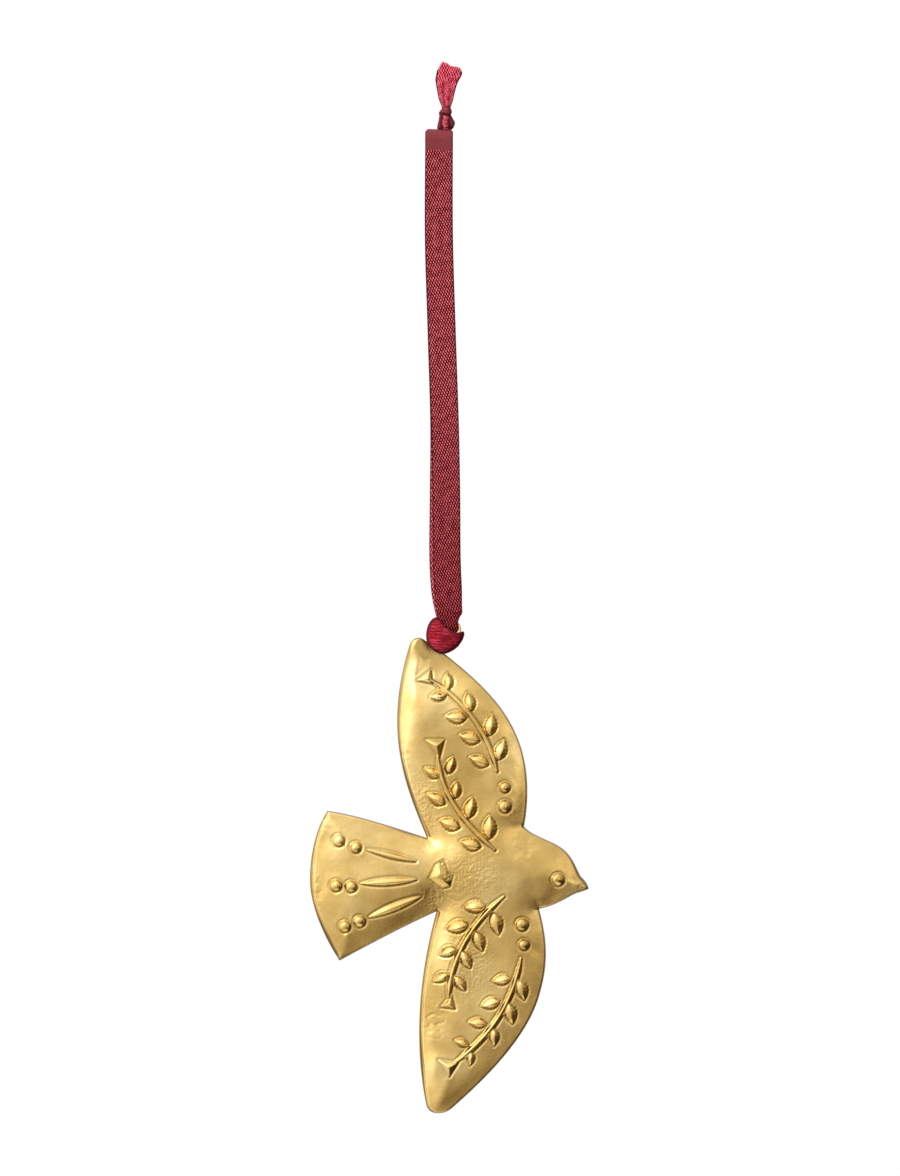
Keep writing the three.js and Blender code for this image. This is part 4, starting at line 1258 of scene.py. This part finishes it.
def hitch_band(material):
    outline, is_round = band_outline()
    middle = outline.mean(axis=0)
    lengths = np.linalg.norm(outline, axis=1)

    def face(share, is_outer):
        x, z = mix(middle, outline, share).T
        out = edge_depth(x, z) + BAND_DOME * math.sqrt(max(1 - share * share, 0))
        if is_outer:
            out += BAND_THICKNESS + thread_height(x, z, share)
        return np.stack([x, -out, z], axis=1)

    def curl(depth, inset):
        """The rim rolls back along the band's round side, and less so where it lies near the bird."""
        x, z = (outline * (1 - inset / lengths)[:, None]).T
        edge = edge_depth(x, z)
        roll = np.where(is_round, mix(NEAR_ROLL, 1.0, smooth_step(*ROLL_DEPTHS, edge)), STRAIGHT_ROLL)
        return np.stack([x, depth * roll - edge, z], axis=1)

    rings = [face(share, True) for share in OUTER_SHARES]
    rings += [curl(*row) for row in CURL]
    rings += [face(share, False) for share in INNER_SHARES]
    rings = np.array(rings)[:, ::-1]
    shares = np.array(OUTER_SHARES + [1.0] * (len(rings) - len(OUTER_SHARES)))[:, None]
    shade = band_shade(rings[:, :, 0], rings[:, :, 2], shares)
    rings += [BAND_CENTRE[0], 0.0, BAND_CENTRE[1]]
    uv = np.stack([rings[:, :, 2], rings[:, :, 0]], axis=2)
    return with_painted_shade(closed_loft("hitch_wrap_band", rings, material, uv), shade)


# The gathered strands under the loop, as z, left and right ends, and front and back faces
GATHER = [
    (-104.5, 0.0, 4.4, -0.2, 0.2),
    (-105.4, -0.6, 4.8, -0.62, 0.62),
    (-106.2, -0.8, 4.85, -1.03, 1.02),
    (-107.0, -0.85, 4.35, -1.2, 1.1),
    (-107.9, -0.6, 4.02, -1.35, 1.25),
    (-108.8, 0.0, 4.0, -1.5, 1.35),
    (-109.5, 0.9, 4.05, -1.45, 1.3),
    (-110.1, 1.7, 3.9, -1.2, 1.0),
    (-110.5, 2.3, 3.5, -0.7, 0.5),
]
GATHER_STEPS = 40
GATHER_SIDES = 72
GATHER_ROUNDNESS = 0.4  # 1 is an oval section, and 0 a square one
PLEAT_DEPTH = 0.17
PLEAT_START = (-105.8, -108.4)  # heights where the pleats start and where they are full
PLEAT_TURN = 3.4  # radians of their wave for each millimetre across
PLEAT_DRIFT = 0.45  # and for each millimetre up
PLEAT_X = 1.9


def hitch_gather(material):
    """The strands drawn together over the ring, with pleats that deepen on the way down."""
    heights = np.linspace(GATHER[0][0], GATHER[-1][0], GATHER_STEPS)
    values = through([(-z, *rest) for z, *rest in GATHER], -heights)
    _, cos, sin = full_circle(GATHER_SIDES)
    rings, uv = [], []
    for z, (left, right, front, back) in zip(heights, values):
        x = (left + right) / 2 + (right - left) / 2 * np.sign(cos) * np.abs(cos) ** GATHER_ROUNDNESS
        y = (front + back) / 2 + (back - front) / 2 * np.sign(sin) * np.abs(sin) ** GATHER_ROUNDNESS
        wave = np.cos((x - PLEAT_X) * PLEAT_TURN + PLEAT_DRIFT * z)
        pleat = PLEAT_DEPTH * smooth_step(*PLEAT_START, z) * wave
        y = y + pleat * np.abs(sin) ** 0.5 * np.sign(sin)
        rings.append(np.stack([x, y, np.full(GATHER_SIDES, z)], axis=1))
        uv.append(np.stack([x + 1.1, np.full(GATHER_SIDES, -z)], axis=1))
    return closed_loft("hitch_gathered_strands", rings, material, uv)


# The knot and the two cut tails

# Rows of the knot: photograph row, left and right edge there, and half its depth in millimetres
KNOT = [
    (130.0, 439.5, 451.5, 1.15),
    (128.6, 437.4, 453.2, 1.45),
    (126.0, 437.2, 454.4, 1.6),
    (123.0, 437.8, 455.0, 1.65),
    (119.5, 438.6, 453.2, 1.55),
    (117.0, 438.9, 451.9, 1.4),
    (115.3, 439.4, 451.0, 1.25),
    (113.0, 438.8, 451.9, 1.35),
    (110.6, 439.8, 451.6, 1.25),
    (108.4, 441.4, 450.6, 1.0),
    (106.0, 441.8, 450.2, 0.75),
]
KNOT_STEPS = 72
KNOT_SIDES = 96
# A twisted strip stands out down the knot's middle, with a valley and a lobe on each side of it
STRIP_X = 1.2
STRIP_RISE = 0.34
STRIP_WIDTH = 0.42
VALLEY_PLACES = (-0.8, 0.85)
TWIST_SPACING = 0.85
TWIST_PLACE = 0.42
COLLAR_HEIGHT = 3.55
FOOT_HEIGHT = 0.62
# Each groove of the knot, as its width, its depth and its painted shade
VALLEY = (0.24, 0.3, 0.75)
TWIST = (0.13, 0.16, 0.55)
COLLAR = (0.2, 0.28, 0.85)
FOOT = (0.14, 0.12, 0.8)
SIDE_SHADE = 0.66  # beside the strip
BACK_SHADE = 0.25
WRAP_HEIGHT = 0.05  # of the folds round the knot's back


def knot(material):
    rows = [(-row, *at_pixel(left, row), at_pixel(right, row)[0], deep) for row, left, right, deep in KNOT]
    values = through(rows, np.linspace(rows[0][0], rows[-1][0], KNOT_STEPS))
    turns, cos, sin = full_circle(KNOT_SIDES)
    facing = np.clip(-sin, 0, 1)
    rings, uv, shade = [], [], []
    for left, z, right, deep in values:
        x = (left + right) / 2 + (right - left) / 2 * cos
        body = smooth_step(3.6, 3.0, z)
        aside = x - STRIP_X - 0.12 * math.sin(2.6 * z)
        strip = bell(aside, 0, STRIP_WIDTH) * body
        valleys = np.sum([bell(aside, place, VALLEY[0]) for place in VALLEY_PLACES], axis=0) * body
        twist = bell((z - 0.7 * aside) % TWIST_SPACING, TWIST_PLACE, TWIST[0]) * strip
        collar = bell(z, COLLAR_HEIGHT - 0.36 * (x - 0.9), COLLAR[0])
        foot = bell(z, FOOT_HEIGHT, FOOT[0])
        out = STRIP_RISE * strip - VALLEY[1] * valleys - TWIST[1] * twist
        out -= COLLAR[1] * collar + FOOT[1] * foot
        wraps = WRAP_HEIGHT * np.cos(5 * turns + 1.6 * z) * (1 - facing)
        rings.append(np.stack([x, (deep + out * facing + wraps) * sin, z + 0.1 * cos], axis=1))
        uv.append(np.stack([z * 1.4 + 0.5 * x, x], axis=1))
        # Painted shade in the grooves, beside the strip and round the back
        dark = VALLEY[2] * valleys + TWIST[2] * twist + COLLAR[2] * collar + FOOT[2] * foot
        dark = dark + SIDE_SHADE * mix(1, smooth_step(0.35, 0.8, np.abs(aside)), body)
        dark = dark * smooth_step(0, 0.3, facing) + BACK_SHADE * (1 - facing)
        shade.append(np.clip(dark, 0, DARKEST))
    return with_painted_shade(closed_loft("ribbon_knot_wraps", rings, material, uv), shade)


# Rows of a cut tail: photograph row, then its left and right edge there, and how far it stands forward
FRONT_TAIL = [
    (110.5, 442.6, 449.6, 0.3),
    (106.0, 441.4, 451.2, 0.42),
    (100.0, 439.0, 453.2, 0.6),
    (95.0, 437.9, 454.2, 0.72),
    (90.0, 436.9, 455.5, 0.84),
    (84.0, 435.9, 457.3, 0.95),
    (79.0, 435.4, 459.8, 0.98),
    (74.0, 436.4, 462.0, 0.92),
    (60.0, 437.8, 463.2, 0.75),
]
BACK_TAIL = [
    (110.5, 442.8, 450.0, -0.25),
    (106.0, 442.4, 450.6, -0.4),
    (100.0, 441.0, 452.6, -0.6),
    (92.0, 440.0, 454.4, -0.8),
    (84.0, 440.2, 457.0, -0.85),
    (76.0, 441.0, 460.2, -0.8),
    (60.0, 441.8, 461.8, -0.7),
]
# Rows of a cut edge: share of the way across, and the photograph row
FRONT_CUT = [
    (0.0, 71.0), (0.1, 67.0), (0.19, 61.6), (0.26, 63.2), (0.42, 64.0),
    (0.52, 66.8), (0.75, 67.6), (0.92, 68.4), (1.0, 73.0),
]
BACK_CUT = [(0.0, 72.0), (0.3, 66.5), (0.6, 70.0), (1.0, 75.0)]
TAIL_THICKNESS = 0.34
TAIL_COLUMNS = 37
TAIL_STEPS = 48
# How far a tail's cut edge strays, in photograph rows, and where its random steps start from
FRAY = 0.7
FRONT_FRAY_SEED = 5
BACK_FRAY_SEED = 9
# Depths of a tail's pleats at its foot, of its curl at its top and of its ripple
TAIL_PLEAT = 0.26
TAIL_CURL = 0.5
TAIL_RIPPLE = 0.12


def cut_tail(name, rows, cut, seed, material):
    """A cut ribbon end: pleated at its foot, spread and curled above, and cut unevenly."""
    rolls = random.Random(seed)
    table = [
        (-row, at_pixel(left, row)[0], at_pixel(right, row)[0], deep)
        for row, left, right, deep in rows
    ]
    across = np.linspace(0, 1, TAIL_COLUMNS)
    tops = np.interp(across, *np.transpose(cut))
    tops += np.array([rolls.uniform(-FRAY, FRAY) for _ in across])
    forward = math.copysign(1, rows[0][3])
    rings, uv = [], []
    for share in np.linspace(0, 1, TAIL_STEPS):
        photo_rows = mix(rows[0][0], tops, share)
        left, right, deep = through(table, -photo_rows).T
        x = mix(left, right, across)
        z = at_pixel(0, photo_rows)[1]
        pleats = TAIL_PLEAT * (1 - share) ** 1.3 * np.cos(across * 2 * math.pi * 2.5)
        curl = TAIL_CURL * share**1.5 * ((across - 0.5) * 2) ** 2
        y = -deep + forward * (pleats + curl) + TAIL_RIPPLE * np.sin(7 * across + 5 * share)
        front = np.stack([x, y - TAIL_THICKNESS / 2, z], axis=1)
        back = np.stack([x, y + TAIL_THICKNESS / 2, z], axis=1)
        rings.append(np.concatenate([front, back[::-1]]))
        row_uv = np.stack([across * RIBBON_WIDTH, z], axis=1)
        uv.append(np.concatenate([row_uv, row_uv[::-1]]))
    return closed_loft(name, rings, material, uv)


# Stage and light

# The floor is well below the hanging ornament, so that its metal mirrors the studio and not the floor
FLOOR_HEIGHT = -1.25
FLOOR_RADIUS = 0.7
FLOOR_STOPS = [(0.3, colour(236, 236, 234)), (0.7, colour(242, 242, 240))]
STUDIO_LEVEL = 1.5
# From straight away from the upper left to straight towards it, and the colour there
STUDIO_STOPS = [
    (0.0, (0.03, 0.02, 0.009)), (0.07, (0.05, 0.036, 0.018)), (0.15, (0.14, 0.11, 0.068)),
    (0.22, (0.28, 0.245, 0.19)), (0.35, (0.46, 0.44, 0.395)), (0.5, (0.57, 0.57, 0.56)),
    (0.62, (0.74, 0.74, 0.74)), (0.72, (0.98, 1.0, 1.03)), (0.84, (1.22, 1.27, 1.33)),
    (1.0, (1.4, 1.45, 1.5)),
]


def floor_material():
    material, tree, shader = new_material("pale_floor")
    place = node(tree, "ShaderNodeTexCoord").outputs["Object"]
    grain = noise_texture(tree, place, Scale=2.0, Detail=2.0)
    dress(tree, shader, Base_Color=ramp(tree, grain, FLOOR_STOPS), Roughness=0.9)
    return material


def make_floor():
    """A pale round floor."""
    bm = bmesh.new()
    bmesh.ops.create_circle(bm, cap_ends=True, segments=96, radius=FLOOR_RADIUS)
    mesh = bpy.data.meshes.new("floor")
    bm.to_mesh(mesh)
    bm.free()
    mesh.materials.append(floor_material())
    floor = add_object("floor", mesh)
    floor.location = (0, 0, FLOOR_HEIGHT)


def make_world():
    """A white background, and a soft studio round it: bright at the upper left, dark at the lower right."""
    world = bpy.data.worlds.new("studio")
    bpy.context.scene.world = world
    world.use_nodes = True
    tree = world.node_tree
    background = tree.nodes["Background"]
    background.inputs["Strength"].default_value = STUDIO_LEVEL
    way = node(tree, "ShaderNodeTexCoord").outputs["Generated"]

    def toward(*direction):
        return vector_maths(tree, "DOT_PRODUCT", way, Vector(direction).normalized())["Value"]

    share = maths(tree, "MULTIPLY_ADD", toward(-1, 0, 1), 0.5, 0.5)
    studio = ramp(tree, share, [(place, (*shade, 1.0)) for place, shade in STUDIO_STOPS])
    behind = ranged(tree, toward(0, 1, 0), 0.85, 0.98)
    ray = node(tree, "ShaderNodeLightPath").outputs
    clear = maths(tree, "ADD", ray["Is Glossy Ray"], ray["Is Transmission Ray"])
    shown = maths(tree, "MAXIMUM", ray["Is Camera Ray"], maths(tree, "MULTIPLY", clear, behind))
    white = 1 / STUDIO_LEVEL
    feed(tree, background.inputs["Color"], mixed(tree, shown, studio, (white, white, white, 1.0)))


def make_lamp(name, place, aim, size, power):
    data = bpy.data.lights.new(name, "AREA")
    data.shape = "DISK"
    data.size = size
    data.energy = power
    lamp = add_object(name, data)
    lamp.location = place
    lamp.rotation_euler = (Vector(aim) - Vector(place)).to_track_quat("-Z", "Y").to_euler()


def place_piece(piece, body, slot, *nodes):
    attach(piece, body)
    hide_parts(*nodes)
    return piece


make_camera()
make_world()
make_floor()
make_lamp("key", (-0.62, -0.75, 0.42), (0, 0, -0.14), 0.5, 3.0)
make_lamp("fill", (0.8, -0.9, 0.1), (0, 0, -0.12), 0.7, 0.8)

woven = ribbon_material("ribbon_woven", STRAND_SHADES, FOLD_PATCH, BACK_SHADES)
tail_cloth = ribbon_material("ribbon_cut_ends", TAIL_SHADES, unrest=2.2, edge_width=0.36)
shaded_gather_cloth = ribbon_material("ribbon_gathered_painted_shade", SHADED_GATHER_SHADES)
bulb_cloth = wound_material("ribbon_wound", BULB_STOPS)
knot_highlight_cloth = wound_material("ribbon_knotted_painted_highlight", KNOT_HIGHLIGHT_STOPS)
brass = brass_material("brass_sheet", 0.4)
wire = brass_material("brass_wire", 0.12)

loop, route = ribbon_loop(woven)
place_piece(loop, "ribbon", "ribbon", "ribbon_front_strand", "ribbon_back_strand", "ribbon_fold")
gather = place_piece(hitch_gather(shaded_gather_cloth), "ribbon", "ribbon", "hitch_turn")
band = place_piece(hitch_band(bulb_cloth), "ribbon", "ribbon", "hitch_band")
knotted = place_piece(knot(knot_highlight_cloth), "ribbon", "ribbon", "ribbon_knot")
front_tail = cut_tail("ribbon_cut_tail_front", FRONT_TAIL, FRONT_CUT, FRONT_FRAY_SEED, tail_cloth)
place_piece(front_tail, "ribbon", "ribbon", "ribbon_tail_left")
back_tail = cut_tail("ribbon_cut_tail_back", BACK_TAIL, BACK_CUT, BACK_FRAY_SEED, tail_cloth)
place_piece(back_tail, "ribbon", "ribbon", "ribbon_tail_right")
place_piece(jump_ring(wire), "ring", "brass", "jump_ring")
place_piece(bird_front(brass), "bird", "brass", "bird_front_sheet")
place_piece(bird_back(brass), "bird", "brass", "bird_back_sheet")

view = bpy.context.scene.view_settings
view.view_transform = "Standard"
